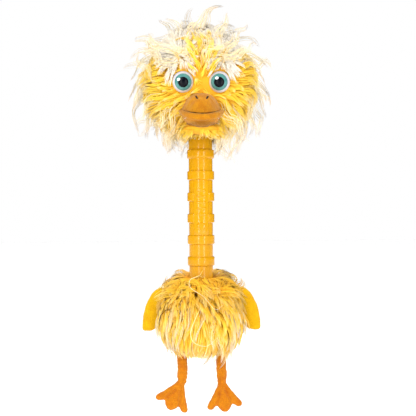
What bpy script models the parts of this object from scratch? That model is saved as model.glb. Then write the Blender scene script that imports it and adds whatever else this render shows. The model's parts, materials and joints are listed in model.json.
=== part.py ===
"""Moving mouth puppet: a plush bird on a hard moulded neck that is also the hand grip.

Frame: metres, +Z up, the bird faces -Y, origin on the neck axis at the middle of the grip.
Squeezing the trigger at the back of the neck pulls a rod down, and the rod opens the jaw.
"""
import math

import bpy
import bmesh
from mathutils import Matrix, Vector

MM = 0.001
GAP = 0.3 * MM
FACET_ROOM = 1.6 * MM

# Neck: two moulded half shells with six grip ribs.
NECK_RADIUS = 14.2 * MM
BORE_RADIUS = 12.0 * MM
NECK_TOP = 102.5 * MM
NECK_BOTTOM = -106.0 * MM
RIB_COUNT = 6
RIB_RADIUS = 16.1 * MM
RIB_HEIGHT = 11.0 * MM
RIB_PITCH = 25.6 * MM
RIB_EDGE = 1.0 * MM
FLANGE_THICK = 2.5 * MM
TOP_FLANGE_RADIUS = 17.2 * MM
BOTTOM_FLANGE_RADIUS = 20.0 * MM
PANEL_RADIUS = 15.0 * MM
PANEL_HALF_WIDTH = 8.5 * MM
PANEL_HALF_HEIGHT = 32.0 * MM
GRIP_BAR_COUNT = 5
GRIP_BAR_RADIUS = 15.7 * MM
GRIP_BAR_TOP = 20.0 * MM
GRIP_BAR_PITCH = 7.0 * MM
GRIP_BAR_HEIGHT = 2.8 * MM
DOT_RADIUS = 4.6 * MM
DOT_HEIGHT = -22.0 * MM
SCREW_HEIGHTS = (52.0 * MM, -52.0 * MM)
SCREW_SIDE = 8.0 * MM

# Linkage: trigger, pull rod and jaw all turn about X.
ROD_Y = -5.0 * MM
ROD_RADIUS = 1.2 * MM
TRIGGER_ARM = 12.0 * MM
TRIGGER_AXIS = Vector((0.0, ROD_Y + TRIGGER_ARM, -20.0 * MM))
JAW_ARM = 10.0 * MM
JAW_AXIS = Vector((0.0, ROD_Y + JAW_ARM, 116.0 * MM))
PIN_RADIUS = 1.3 * MM
PIN_HOLE = 1.6 * MM
EYELET_RADIUS = 3.4 * MM
EYELET_HOLE = 1.9 * MM
STUD_RADIUS = 1.2 * MM
SLOT_HALF_WIDTH = 6.6 * MM
SLOT_LOW = -24.6 * MM
SLOT_HIGH = 32.6 * MM
GUIDE_HEIGHTS = (44.0 * MM, 84.0 * MM)
GUIDE_THICK = 3.0 * MM
COLLAR_LOW = 69.0 * MM
COLLAR_THICK = 2.0 * MM
SPRING_RADIUS = 3.0 * MM
SPRING_WIRE = 0.4 * MM
SPRING_TURNS = 6

# Head.
SKULL_CENTRE = Vector((0.0, 0.0, 146.0 * MM))
SKULL_RADIUS = 46.0 * MM
SKULL_HALF_HEIGHT = 48.0 * MM
SKULL_RADII = Vector((SKULL_RADIUS, SKULL_RADIUS, SKULL_HALF_HEIGHT))
SKULL_WALL = 2.0 * MM
COLLAR_RADIUS = 20.0 * MM
SLEEVE_RADIUS = 17.5 * MM
HEAD_FUR_CENTRE = Vector((0.0, 2.0 * MM, 154.0 * MM))
HEAD_FUR_RADII = Vector((80.0, 66.0, 70.0)) * MM
BEAK_CENTRE = Vector((0.0, -40.0, 105.5)) * MM
BEAK_RADII = Vector((23.0, 39.0, 23.0)) * MM
BEAK_CORE_RADII = Vector((18.5, 33.0, 16.0)) * MM
BEAK_CORE_LIFT = 3.5 * MM
LIP_CENTRE = Vector((0.0, -43.0, 100.0)) * MM
LIP_RADII = Vector((26.0, 37.0, 8.0)) * MM
LIP_TOP = 105.0 * MM
LIP_BACK = -40.0 * MM
TONGUE_CENTRE = Vector((0.0, -52.0, 100.5)) * MM
TONGUE_RADII = Vector((20.0, 20.5, 1.8)) * MM
CHIN_CENTRE = Vector((0.0, -51.0, 93.0)) * MM
CHIN_RADII = Vector((27.0, 20.0, 13.0)) * MM
NOSTRIL_SIDE = 6.0 * MM
NOSTRIL_FRONT = -63.5 * MM
NOSTRIL_REACH = 1.9 * MM
EYE_RADIUS = 12.25 * MM
EYE_BASE = Vector((20.8, -45.0, 143.5)) * MM
EYE_TURN = math.radians(16.0)
IRIS_RADIUS = 9.6 * MM
PUPIL_RADIUS = 6.0 * MM
STEM_RADIUS = 2.7 * MM
STEM_LENGTH = 15.0 * MM

# Body.
CORE_CENTRE = Vector((0.0, 0.0, -138.0 * MM))
CORE_RADII = Vector((38.0, 34.0, 34.0)) * MM
BODY_FUR_CENTRE = Vector((0.0, 0.0, -133.0 * MM))
BODY_FUR_RADII = Vector((57.0, 51.0, 50.0)) * MM
SHOULDER = Vector((43.0, 0.0, -106.0)) * MM
WING_THICK = 6.0 * MM
HIP = Vector((23.5, 0.0, -176.0)) * MM
LEG_RADIUS = 6.0 * MM
ANKLE_HEIGHT = -206.0 * MM
FOOT_THICK = 8.0 * MM
FOOT_TILT = math.radians(25.0)
FOOT_SWING = {"left": math.radians(20.0), "right": math.radians(-6.0)}
TIE_RADIUS = 21.6 * MM
TIE_THICK = 2.2 * MM
TIE_HEIGHT = 4.5 * MM

SIDES = (("left", -1.0), ("right", 1.0))


def clear_scene():
    for obj in list(bpy.data.objects):
        bpy.data.objects.remove(obj, do_unlink=True)


def new_collection(name):
    collection = bpy.data.collections.new(name)
    bpy.context.scene.collection.children.link(collection)
    return collection


def make_material(name, colour, roughness, metallic=0.0):
    material = bpy.data.materials.new(name)
    material.use_nodes = True
    shader = material.node_tree.nodes["Principled BSDF"]
    shader.inputs["Base Color"].default_value = (*colour, 1.0)
    shader.inputs["Roughness"].default_value = roughness
    shader.inputs["Metallic"].default_value = metallic
    return material


clear_scene()
PARTS = new_collection("moving_mouth_puppet")
CUTTERS = new_collection("cutters")

NECK_PLASTIC = make_material("neck_plastic", (0.92, 0.42, 0.02), 0.22)
INNER_PLASTIC = make_material("inner_plastic", (0.86, 0.84, 0.78), 0.45)
STEEL = make_material("steel", (0.60, 0.60, 0.62), 0.30, 1.0)
YELLOW_FUR = make_material("yellow_fur", (0.95, 0.60, 0.06), 0.95)
CREAM_FUR = make_material("cream_fur", (0.90, 0.82, 0.68), 0.95)
BEAK_PLUSH = make_material("beak_plush", (0.84, 0.35, 0.02), 0.90)
WING_PLUSH = make_material("wing_plush", (0.95, 0.58, 0.02), 0.90)
STUFFING = make_material("stuffing", (0.90, 0.90, 0.88), 1.0)
EYE_WHITE = make_material("eye_white", (0.82, 0.80, 0.82), 0.15)
IRIS_TEAL = make_material("iris_teal", (0.16, 0.46, 0.44), 0.12)
BLACK = make_material("black", (0.01, 0.01, 0.015), 0.20)
NYLON = make_material("nylon", (0.85, 0.85, 0.82), 0.40)


def add_object(name, data, material):
    """A piece when it has a material, otherwise a hidden cutter."""
    obj = bpy.data.objects.new(name, data)
    if material is None:
        CUTTERS.objects.link(obj)
        obj.hide_render = True
        obj.display_type = "WIRE"
    else:
        PARTS.objects.link(obj)
        data.materials.append(material)
    return obj


def from_bmesh(name, work, material):
    mesh = bpy.data.meshes.new(name)
    work.to_mesh(mesh)
    work.free()
    mesh.shade_smooth()
    mesh.set_sharp_from_angle(angle=math.radians(35.0))
    return add_object(name, mesh, material)


def block(name, low, high, material=None):
    """A box between two corners."""
    low, high = Vector(low), Vector(high)
    work = bmesh.new()
    bmesh.ops.create_cube(work, size=1.0)
    size = high - low
    bmesh.ops.transform(work, matrix=Matrix.Diagonal((*size, 1.0)), verts=work.verts)
    bmesh.ops.translate(work, vec=(low + high) / 2.0, verts=work.verts)
    return from_bmesh(name, work, material)


def ball(name, centre, radii, material=None, segments=18, rings=10):
    """An ellipsoid."""
    work = bmesh.new()
    bmesh.ops.create_uvsphere(work, u_segments=segments, v_segments=rings, radius=1.0)
    bmesh.ops.transform(work, matrix=Matrix.Diagonal((*radii, 1.0)), verts=work.verts)
    bmesh.ops.translate(work, vec=centre, verts=work.verts)
    return from_bmesh(name, work, material)


def bar(name, start, end, radius, material=None, sides=12):
    """A round bar between two points."""
    start, end = Vector(start), Vector(end)
    along = end - start
    work = bmesh.new()
    bmesh.ops.create_cone(
        work,
        cap_ends=True,
        segments=sides,
        radius1=radius,
        radius2=radius,
        depth=along.length,
    )
    turn = Vector((0.0, 0.0, 1.0)).rotation_difference(along).to_matrix()
    bmesh.ops.rotate(work, matrix=turn, verts=work.verts)
    bmesh.ops.translate(work, vec=(start + end) / 2.0, verts=work.verts)
    return from_bmesh(name, work, material)


def turned(name, profile, material=None, steps=20, closed=True):
    """A profile of (radius, height) points, turned about Z: down the outside, up the inside."""
    mesh = bpy.data.meshes.new(name)
    edges = [(i, i + 1) for i in range(len(profile) - 1)]
    if closed:
        edges.append((len(profile) - 1, 0))
    mesh.from_pydata([(radius, 0.0, height) for radius, height in profile], edges, [])
    obj = add_object(name, mesh, material)
    screw = obj.modifiers.new("turn", "SCREW")
    screw.axis = "Z"
    screw.angle = math.tau
    screw.steps = steps
    screw.render_steps = steps
    screw.use_merge_vertices = True
    screw.merge_threshold = 0.00001
    screw.use_smooth_shade = False
    return obj


def outline(name, points, thickness, material=None, smooth=False, bevel=0.0):
    """A flat outline in its own XY plane, extruded to a thickness."""
    curve = bpy.data.curves.new(name, "CURVE")
    curve.dimensions = "2D"
    curve.fill_mode = "BOTH"
    curve.extrude = thickness / 2.0 - bevel
    curve.bevel_depth = bevel
    curve.bevel_resolution = 1
    curve.resolution_u = curve.render_resolution_u = 2
    spline = curve.splines.new("BEZIER" if smooth else "POLY")
    spline.use_cyclic_u = True
    if smooth:
        spline.bezier_points.add(len(points) - 1)
        for knot, (x, y) in zip(spline.bezier_points, points):
            knot.co = (x, y, 0.0)
            knot.handle_left_type = "AUTO"
            knot.handle_right_type = "AUTO"
    else:
        spline.points.add(len(points) - 1)
        for knot, (x, y) in zip(spline.points, points):
            knot.co = (x, y, 0.0, 1.0)
    return add_object(name, curve, material)


def as_mesh(obj):
    """The same object as a welded mesh, so that Boolean can take it."""
    bpy.context.view_layer.update()
    graph = bpy.context.evaluated_depsgraph_get()
    mesh = bpy.data.meshes.new_from_object(obj.evaluated_get(graph))
    work = bmesh.new()
    work.from_mesh(mesh)
    bmesh.ops.remove_doubles(work, verts=work.verts, dist=0.00001)
    bmesh.ops.recalc_face_normals(work, faces=work.faces)
    work.to_mesh(mesh)
    work.free()
    name, place = obj.name, obj.matrix_world.copy()
    owner = obj.users_collection[0]
    hidden = obj.hide_render
    bpy.data.objects.remove(obj, do_unlink=True)
    solid = bpy.data.objects.new(name, mesh)
    owner.objects.link(solid)
    solid.matrix_world = place
    if hidden:
        solid.hide_render = True
        solid.display_type = "WIRE"
    return solid


def combine(obj, operation, *others):
    for other in others:
        step = obj.modifiers.new(f"{operation.lower()}_{other.name}", "BOOLEAN")
        step.operation = operation
        step.object = other
    return obj


def cut(obj, *others):
    return combine(obj, "DIFFERENCE", *others)


def join(obj, *others):
    return combine(obj, "UNION", *others)


def keep(obj, *others):
    return combine(obj, "INTERSECT", *others)


def hang_on(name, point, *pieces):
    """An empty on a joint's axis that carries its moving pieces."""
    pivot = bpy.data.objects.new(name, None)
    PARTS.objects.link(pivot)
    pivot.location = point
    for piece in pieces:
        piece.parent = pivot
        piece.matrix_parent_inverse = Matrix.Translation(point).inverted()


def arc(centre_height, radius, half_height, start, end, steps):
    """Points (radius, height) of an ellipse between two angles from the top."""
    points = []
    for i in range(steps + 1):
        angle = start + (end - start) * i / steps
        points.append((radius * math.sin(angle), centre_height + half_height * math.cos(angle)))
    return points


def side_profile(name, points, half_width, centre, material=None):
    """An outline of (y, z) points extruded along X about a centre."""
    obj = outline(name, points, 2.0 * half_width, material)
    obj.matrix_world = Matrix.Translation(centre) @ Matrix(
        ((0, 0, 1, 0), (1, 0, 0, 0), (0, 1, 0, 0), (0, 0, 0, 1))
    )
    return as_mesh(obj)


def ring_sector(name, inner, outer, low, high, half_width):
    """The front part of a ring between two heights, as wide as the panel."""
    ring = turned(name, [(outer, high), (outer, low), (inner, low), (inner, high)])
    window = block(f"{name}_window", (-half_width, -outer - MM, low - MM), (half_width, 0, high + MM))
    return keep(ring, window)


def neck_profile():
    points = [
        (TOP_FLANGE_RADIUS, NECK_TOP),
        (TOP_FLANGE_RADIUS, NECK_TOP - FLANGE_THICK),
        (NECK_RADIUS, NECK_TOP - FLANGE_THICK),
    ]
    half = RIB_HEIGHT / 2.0
    for i in range(RIB_COUNT):
        height = RIB_PITCH * ((RIB_COUNT - 1) / 2.0 - i)
        points += [
            (NECK_RADIUS, height + half),
            (RIB_RADIUS - RIB_EDGE, height + half),
            (RIB_RADIUS, height + half - RIB_EDGE),
            (RIB_RADIUS, height - half + RIB_EDGE),
            (RIB_RADIUS - RIB_EDGE, height - half),
            (NECK_RADIUS, height - half),
        ]
    points += [
        (NECK_RADIUS, NECK_BOTTOM + FLANGE_THICK),
        (BOTTOM_FLANGE_RADIUS, NECK_BOTTOM + FLANGE_THICK),
        (BOTTOM_FLANGE_RADIUS, NECK_BOTTOM),
        (BORE_RADIUS, NECK_BOTTOM),
        (BORE_RADIUS, NECK_TOP),
    ]
    return points


def wider(radii, room):
    return radii + Vector((room, room, room))


def half_box(name, side, reach=0.3):
    """Everything in front of the parting plane (side -1) or behind it (side +1)."""
    low, high = sorted((side * GAP / 2.0, side * reach))
    return block(name, (-reach, low, -reach), (reach, high, reach))


def screw_joint(label, front, back, x, z, boss_radius, seat, front_end, shank_end):
    """Bosses in two half shells, and the screw that draws them together from the back."""
    front_boss = bar(f"{label}_front_boss", (x, -GAP / 2, z), (x, front_end, z), boss_radius, sides=10)
    back_boss = bar(f"{label}_back_boss", (x, GAP / 2, z), (x, seat + MM, z), boss_radius, sides=10)
    hole = bar(f"{label}_hole", (x, shank_end - MM, z), (x, seat + MM, z), 1.5 * MM, sides=8)
    seat_hole = bar(f"{label}_seat", (x, seat, z), (x, seat + 20 * MM, z), 2.7 * MM, sides=10)
    join(front, front_boss)
    cut(front, hole)
    join(back, back_boss)
    cut(back, hole, seat_hole)
    profile = [
        (0.0, 1.8 * MM),
        (2.3 * MM, 1.2 * MM),
        (2.3 * MM, GAP),
        (1.1 * MM, GAP),
        (1.1 * MM, shank_end - seat + MM),
        (0.0, shank_end - seat),
    ]
    screw = turned(label, profile, STEEL, steps=8, closed=False)
    recess = bar(f"{label}_recess", (0, 0, 0.9 * MM), (0, 0, 3 * MM), 0.9 * MM, sides=6)
    for obj in (screw, recess):
        obj.matrix_world = Matrix.Translation((x, seat, z)) @ Matrix.Rotation(-math.pi / 2, 4, "X")
    cut(screw, recess)


def build_neck():
    front = turned("neck_front_shell", neck_profile(), NECK_PLASTIC, steps=32)
    back = turned("neck_back_shell", neck_profile(), NECK_PLASTIC, steps=32)
    keep(front, half_box("front_half", -1.0))
    keep(back, half_box("back_half", 1.0))

    reach = PANEL_HALF_HEIGHT
    clearing = ring_sector(
        "panel_clearing", PANEL_RADIUS - 0.5 * MM, 25 * MM, -reach, reach, PANEL_HALF_WIDTH
    )
    panel = ring_sector("panel", 13 * MM, PANEL_RADIUS, -reach, reach, PANEL_HALF_WIDTH)
    cut(front, clearing)
    join(front, panel)
    for i in range(GRIP_BAR_COUNT):
        middle = GRIP_BAR_TOP - GRIP_BAR_PITCH * i
        low, high = middle - GRIP_BAR_HEIGHT / 2.0, middle + GRIP_BAR_HEIGHT / 2.0
        join(front, ring_sector(f"grip_bar_{i + 1}", 14 * MM, GRIP_BAR_RADIUS, low, high, 5 * MM))
    dot_centre = Vector((0.0, -13 * MM, DOT_HEIGHT))
    join(front, bar("grip_dot", dot_centre, dot_centre - Vector((0.0, 2.8 * MM, 0.0)), DOT_RADIUS))

    slot = block(
        "trigger_slot", (-SLOT_HALF_WIDTH, 8 * MM, SLOT_LOW), (SLOT_HALF_WIDTH, 30 * MM, SLOT_HIGH)
    )
    cut(back, slot)
    for label, side in SIDES:
        start = (side * 6.9 * MM, TRIGGER_AXIS.y, TRIGGER_AXIS.z)
        end = (side * 11.0 * MM, TRIGGER_AXIS.y, TRIGGER_AXIS.z)
        join(back, bar(f"pivot_boss_{label}", start, end, 3.0 * MM, sides=12))
    reach = Vector((9.4 * MM, 0.0, 0.0))
    cut(back, bar("pivot_hole", TRIGGER_AXIS - reach, TRIGGER_AXIS + reach, PIN_HOLE, sides=12))
    count = 0
    for height in SCREW_HEIGHTS:
        for _, side in SIDES:
            count += 1
            screw_joint(
                f"neck_screw_{count}",
                front,
                back,
                side * SCREW_SIDE,
                height,
                3.4 * MM,
                8.6 * MM,
                -10.0 * MM,
                -7.0 * MM,
            )

    plug = [
        (0.0, NECK_BOTTOM + 6 * MM),
        (BORE_RADIUS - 2 * GAP, NECK_BOTTOM + 6 * MM),
        (BORE_RADIUS - 2 * GAP, NECK_BOTTOM - GAP),
        (BOTTOM_FLANGE_RADIUS, NECK_BOTTOM - GAP),
        (BOTTOM_FLANGE_RADIUS, NECK_BOTTOM - 2.2 * MM),
        (0.0, NECK_BOTTOM - 2.2 * MM),
    ]
    turned("neck_end_cap", plug, NECK_PLASTIC, steps=24, closed=False)


def build_linkage():
    reach = Vector((9.0 * MM, 0.0, 0.0))
    bar("trigger_pin", TRIGGER_AXIS - reach, TRIGGER_AXIS + reach, PIN_RADIUS, STEEL, sides=12)

    pad = [
        (3.5, -1.0),
        (8.0, 3.5),
        (11.6, 16.0),
        (12.4, 28.0),
        (14.8, 40.0),
        (16.5, 46.5),
        (15.0, 48.5),
        (12.0, 47.0),
        (8.5, 28.0),
        (5.0, 12.0),
        (-1.0, 3.5),
    ]
    crank = [(0.0, -2.5), (0.0, 2.5), (-12.0, 2.2), (-13.6, 1.4), (-14.0, 0.0), (-13.6, -1.4), (-12.0, -2.2)]
    trigger = side_profile(
        "trigger", [(y * MM, z * MM) for y, z in pad], 6.0 * MM, TRIGGER_AXIS, NECK_PLASTIC
    )
    hub_reach = Vector((6.0 * MM, 0.0, 0.0))
    hub = bar("trigger_hub", TRIGGER_AXIS - hub_reach, TRIGGER_AXIS + hub_reach, 3.6 * MM)
    web_centre = TRIGGER_AXIS + Vector((3.0 * MM, 0.0, 0.0))
    web = side_profile("trigger_crank", [(y * MM, z * MM) for y, z in crank], 1.5 * MM, web_centre)
    stud_place = TRIGGER_AXIS + Vector((0.0, -TRIGGER_ARM, 0.0))
    stud = bar(
        "trigger_stud",
        stud_place + Vector((3.0 * MM, 0, 0)),
        stud_place - Vector((2.2 * MM, 0, 0)),
        STUD_RADIUS,
        sides=12,
    )
    hole_reach = Vector((8.0 * MM, 0.0, 0.0))
    hole = bar("trigger_hole", TRIGGER_AXIS - hole_reach, TRIGGER_AXIS + hole_reach, PIN_HOLE, sides=12)
    join(trigger, hub, web, stud)
    cut(trigger, hole)
    hang_on("trigger_axis", TRIGGER_AXIS, trigger)

    low = Vector((0.0, ROD_Y, TRIGGER_AXIS.z))
    high = Vector((0.0, ROD_Y, JAW_AXIS.z))
    inset = Vector((0.0, 0.0, 2.6 * MM))
    rod = bar("pull_rod", low + inset, high - inset, ROD_RADIUS, STEEL)
    collar_low = Vector((0.0, ROD_Y, COLLAR_LOW))
    join(rod, bar("rod_collar", collar_low, collar_low + Vector((0, 0, COLLAR_THICK)), 4.0 * MM))
    half = Vector((1.0 * MM, 0.0, 0.0))
    wide = Vector((3.0 * MM, 0.0, 0.0))
    for label, end in (("low", low), ("high", high)):
        join(rod, bar(f"rod_eyelet_{label}", end - half, end + half, EYELET_RADIUS))
        cut(rod, bar(f"rod_eyelet_{label}_hole", end - wide, end + wide, EYELET_HOLE))
    hang_on("rod_axis", low, rod)

    for label, height in zip(("lower", "upper"), GUIDE_HEIGHTS):
        guide = bar(
            f"rod_guide_{label}",
            (0, 0, height),
            (0, 0, height + GUIDE_THICK),
            BORE_RADIUS - 2 * GAP,
            INNER_PLASTIC,
            sides=24,
        )
        cut(guide, bar(f"guide_hole_{label}", (0, ROD_Y, height - MM), (0, ROD_Y, height + 5 * MM), 1.7 * MM))

    start = GUIDE_HEIGHTS[0] + GUIDE_THICK + GAP + SPRING_WIRE
    end = COLLAR_LOW - GAP - SPRING_WIRE
    per_turn = 8
    count = SPRING_TURNS * per_turn + 1
    curve = bpy.data.curves.new("return_spring", "CURVE")
    curve.dimensions = "3D"
    curve.bevel_depth = SPRING_WIRE
    curve.bevel_resolution = 1
    curve.use_fill_caps = True
    spline = curve.splines.new("POLY")
    spline.points.add(count - 1)
    for i, knot in enumerate(spline.points):
        angle = math.tau * i / per_turn
        height = start + (end - start) * i / (count - 1)
        x, y = SPRING_RADIUS * math.cos(angle), SPRING_RADIUS * math.sin(angle)
        knot.co = (x, ROD_Y + y, height, 1.0)
    add_object("return_spring", curve, STEEL)


def skull_profile():
    outer_end = math.pi - math.asin(COLLAR_RADIUS / SKULL_RADIUS)
    inner_radius = SKULL_RADIUS - SKULL_WALL
    inner_height = SKULL_HALF_HEIGHT - SKULL_WALL
    inner_end = math.pi - math.asin(SLEEVE_RADIUS / inner_radius)
    centre = SKULL_CENTRE.z
    points = arc(centre, SKULL_RADIUS, SKULL_HALF_HEIGHT, 0.0, outer_end, 8)
    points += [
        (COLLAR_RADIUS, 96.5 * MM),
        (SLEEVE_RADIUS, 96.5 * MM),
        (SLEEVE_RADIUS, 90.0 * MM),
        (NECK_RADIUS + GAP, 90.0 * MM),
        (NECK_RADIUS + GAP, NECK_TOP - FLANGE_THICK - GAP),
        (SLEEVE_RADIUS, NECK_TOP - FLANGE_THICK - GAP),
    ]
    points += arc(centre, inner_radius, inner_height, inner_end, 0.0, 8)
    return points


def eye_place(side):
    """Local +Z looks out of the eye; the base of its dome is at the origin."""
    base = Vector((side * EYE_BASE.x, EYE_BASE.y, EYE_BASE.z))
    outward = Vector((side * math.sin(EYE_TURN), -math.cos(EYE_TURN), 0.04)).normalized()
    turn = outward.to_track_quat("Z", "Y").to_matrix().to_4x4()
    return Matrix.Translation(base) @ turn


def build_skull():
    front = turned("skull_front", skull_profile(), INNER_PLASTIC, closed=False)
    back = turned("skull_back", skull_profile(), INNER_PLASTIC, closed=False)
    keep(front, half_box("skull_front_half", -1.0))
    keep(back, half_box("skull_back_half", 1.0))

    core_centre = BEAK_CENTRE + Vector((0.0, 0.0, BEAK_CORE_LIFT))
    core = ball("beak_core", core_centre, BEAK_CORE_RADII, segments=20, rings=12)
    cut(core, block("beak_core_below", (-0.1, -0.1, 0.0), (0.1, 0.1, core_centre.z)))
    cut(core, block("beak_core_behind", (-0.1, -33 * MM, 0.0), (0.1, 0.1, 0.2)))
    cut(front, block("jaw_opening", (-12.5 * MM, -34 * MM, 85 * MM), (12.5 * MM, -17.8 * MM, 121 * MM)))
    join(front, core)
    for label, side in SIDES:
        stem_hole = bar(f"eye_hole_{label}", (0, 0, -20 * MM), (0, 0, 1 * MM), STEM_RADIUS + 2 * GAP)
        stem_hole.matrix_world = eye_place(side)
        cut(front, stem_hole)
        near, far = sorted((side * 18.0 * MM, side * 20.6 * MM))
        ear = block(f"jaw_ear_{label}", (near, 1 * MM, 104.3 * MM), (far, 9 * MM, 121 * MM))
        join(back, ear)
    reach = Vector((25.0 * MM, 0.0, 0.0))
    cut(back, bar("jaw_pin_hole", JAW_AXIS - reach, JAW_AXIS + reach, PIN_HOLE, sides=12))
    for i, (_, side) in enumerate(SIDES):
        screw_joint(
            f"skull_screw_{i + 1}",
            front,
            back,
            side * 28.0 * MM,
            160.0 * MM,
            3.4 * MM,
            26.5 * MM,
            -29.0 * MM,
            -14.0 * MM,
        )


def build_jaw():
    reach = Vector((20.4 * MM, 0.0, 0.0))
    bar("jaw_pin", JAW_AXIS - reach, JAW_AXIS + reach, PIN_RADIUS, STEEL, sides=12)

    plate = [
        (5.0, 114.0),
        (5.0, 118.0),
        (-19.0, 118.0),
        (-36.5, 102.0),
        (-71.5, 102.0),
        (-73.0, 101.0),
        (-71.5, 99.0),
        (-39.0, 99.0),
        (-21.5, 114.0),
    ]
    jaw = side_profile("jaw_frame", [(y * MM, z * MM) for y, z in plate], 11.0 * MM, Vector(), INNER_PLASTIC)
    hub_reach = Vector((17.4 * MM, 0.0, 0.0))
    hub = bar("jaw_hub", JAW_AXIS - hub_reach, JAW_AXIS + hub_reach, 3.5 * MM)
    tongue = ball("jaw_tongue", TONGUE_CENTRE, TONGUE_RADII, segments=16, rings=6)
    window = block("rod_window", (-2.2 * MM, -10.2 * MM, 0.11), (2.2 * MM, 0.8 * MM, 0.12))
    stud_place = JAW_AXIS + Vector((0.0, -JAW_ARM, 0.0))
    half = Vector((3.0 * MM, 0.0, 0.0))
    stud = bar("jaw_stud", stud_place - half, stud_place + half, STUD_RADIUS, sides=12)
    hole_reach = Vector((25.0 * MM, 0.0, 0.0))
    hole = bar("jaw_hole", JAW_AXIS - hole_reach, JAW_AXIS + hole_reach, PIN_HOLE, sides=12)
    join(jaw, hub, tongue)
    cut(jaw, window)
    join(jaw, stud)
    cut(jaw, hole)

    lip = ball("lower_beak", LIP_CENTRE, LIP_RADII, BEAK_PLUSH, segments=24, rings=10)
    cut(lip, block("palate_cut", (-0.1, -0.1, LIP_TOP), (0.1, 0.1, 0.2)))
    cut(lip, block("lip_back_cut", (-0.1, LIP_BACK, 0.0), (0.1, 0.1, 0.2)))
    pocket = ball("lip_pocket", TONGUE_CENTRE, wider(TONGUE_RADII, 2 * GAP), segments=16, rings=6)
    channel = block("lip_channel", (-11.6 * MM, -73.6 * MM, 98.4 * MM), (11.6 * MM, -30 * MM, 102.6 * MM))
    cut(lip, pocket, channel)

    chin = ball("chin_fur", CHIN_CENTRE, CHIN_RADII, YELLOW_FUR, segments=16, rings=8)
    lip_room = ball("chin_lip_room", LIP_CENTRE, wider(LIP_RADII, 2 * GAP), segments=24, rings=10)
    cut(chin, lip_room)
    cut(chin, block("chin_top_cut", (-0.1, -0.1, 96 * MM), (0.1, 0.1, 0.2)))
    hang_on("jaw_axis", JAW_AXIS, jaw, lip, chin)


def build_beak():
    beak = ball("upper_beak", BEAK_CENTRE, BEAK_RADII, BEAK_PLUSH, segments=24, rings=12)
    cut(beak, block("beak_under", (-0.1, -0.1, 0.0), (0.1, 0.1, BEAK_CENTRE.z)))
    core_centre = BEAK_CENTRE + Vector((0.0, 0.0, BEAK_CORE_LIFT))
    room = ball("beak_core_room", core_centre, wider(BEAK_CORE_RADII, 2 * GAP), segments=20, rings=12)
    cut(room, block("beak_room_below", (-0.1, -0.1, 0.0), (0.1, 0.1, core_centre.z - GAP)))
    skull_room = ball("beak_skull_room", SKULL_CENTRE, wider(SKULL_RADII, FACET_ROOM))
    jaw_room = block("beak_jaw_room", (-13 * MM, -41 * MM, 90 * MM), (13 * MM, 0.0, 112 * MM))
    cut(beak, room, skull_room, jaw_room)
    for label, side in SIDES:
        x, y = side * NOSTRIL_SIDE, NOSTRIL_FRONT
        lift = math.sqrt(1.0 - (x / BEAK_RADII.x) ** 2 - ((y - BEAK_CENTRE.y) / BEAK_RADII.y) ** 2)
        z = BEAK_CENTRE.z + BEAK_RADII.z * lift + 1.0 * MM
        lean = Vector((-side * 1.2, -1.6, -1.0)).normalized() * NOSTRIL_REACH
        middle = Vector((x, y, z))
        nostril = bar(f"nostril_{label}", middle - lean, middle + lean, 0.6 * MM, BLACK, sides=6)
        edge = nostril.modifiers.new("rounded", "BEVEL")
        edge.width = 0.25 * MM
        edge.segments = 1


def build_eyes():
    for label, side in SIDES:
        place = eye_place(side)
        dome = [(0.0, 8.0 * MM), (PUPIL_RADIUS, 8.0 * MM), (IRIS_RADIUS + GAP, 8.0 * MM)]
        dome += [(IRIS_RADIUS + GAP, 9.3 * MM), (11.0 * MM, 7.6 * MM), (12.0 * MM, 4.8 * MM)]
        dome += [(EYE_RADIUS, 2.0 * MM), (EYE_RADIUS - 0.6 * MM, 0.0), (STEM_RADIUS, 0.0)]
        dome += [(STEM_RADIUS, 1.0 * MM - STEM_LENGTH), (0.0, -STEM_LENGTH)]
        iris = [(0.0, 9.9 * MM), (PUPIL_RADIUS + GAP, 9.9 * MM), (PUPIL_RADIUS + GAP, 11.5 * MM)]
        iris += [(7.8 * MM, 11.0 * MM), (IRIS_RADIUS, 9.9 * MM), (IRIS_RADIUS, 8.0 * MM + GAP)]
        iris += [(0.0, 8.0 * MM + GAP)]
        pupil = [(0.0, 12.9 * MM), (2.5 * MM, 12.7 * MM), (4.6 * MM, 12.1 * MM)]
        pupil += [(PUPIL_RADIUS, 11.4 * MM), (PUPIL_RADIUS, 9.9 * MM + GAP), (0.0, 9.9 * MM + GAP)]
        washer = [(8.5 * MM, 1.6 * MM), (8.5 * MM, 0.0)]
        washer += [(STEM_RADIUS + GAP, 0.0), (STEM_RADIUS + GAP, 1.6 * MM)]
        turned(f"eye_{label}", dome, EYE_WHITE, closed=False).matrix_world = place
        turned(f"iris_{label}", iris, IRIS_TEAL, closed=False).matrix_world = place
        turned(f"pupil_{label}", pupil, BLACK, closed=False).matrix_world = place
        inside = place @ Matrix.Translation((0.0, 0.0, -12.5 * MM))
        turned(f"eye_washer_{label}", washer, STEEL, steps=20).matrix_world = inside


def build_tie(name, height):
    """A nylon cable tie with its locking head at the back."""
    inner = TIE_RADIUS
    outer = inner + TIE_THICK
    top = height + TIE_HEIGHT
    ring = turned(name, [(outer, top), (outer, height), (inner, height), (inner, top)], NYLON)
    middle = height + TIE_HEIGHT / 2.0
    low = (-3.5 * MM, inner + 0.6 * MM, middle - 3 * MM)
    high = (3.5 * MM, outer + 3 * MM, middle + 3 * MM)
    join(ring, block(f"{name}_lock", low, high))


def tie_groove(name, low, high):
    """The room that a tie and its head need in the fur around them."""
    inner = TIE_RADIUS - GAP
    outer = 28.0 * MM
    return turned(name, [(outer, high), (outer, low), (inner, low), (inner, high)])


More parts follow.
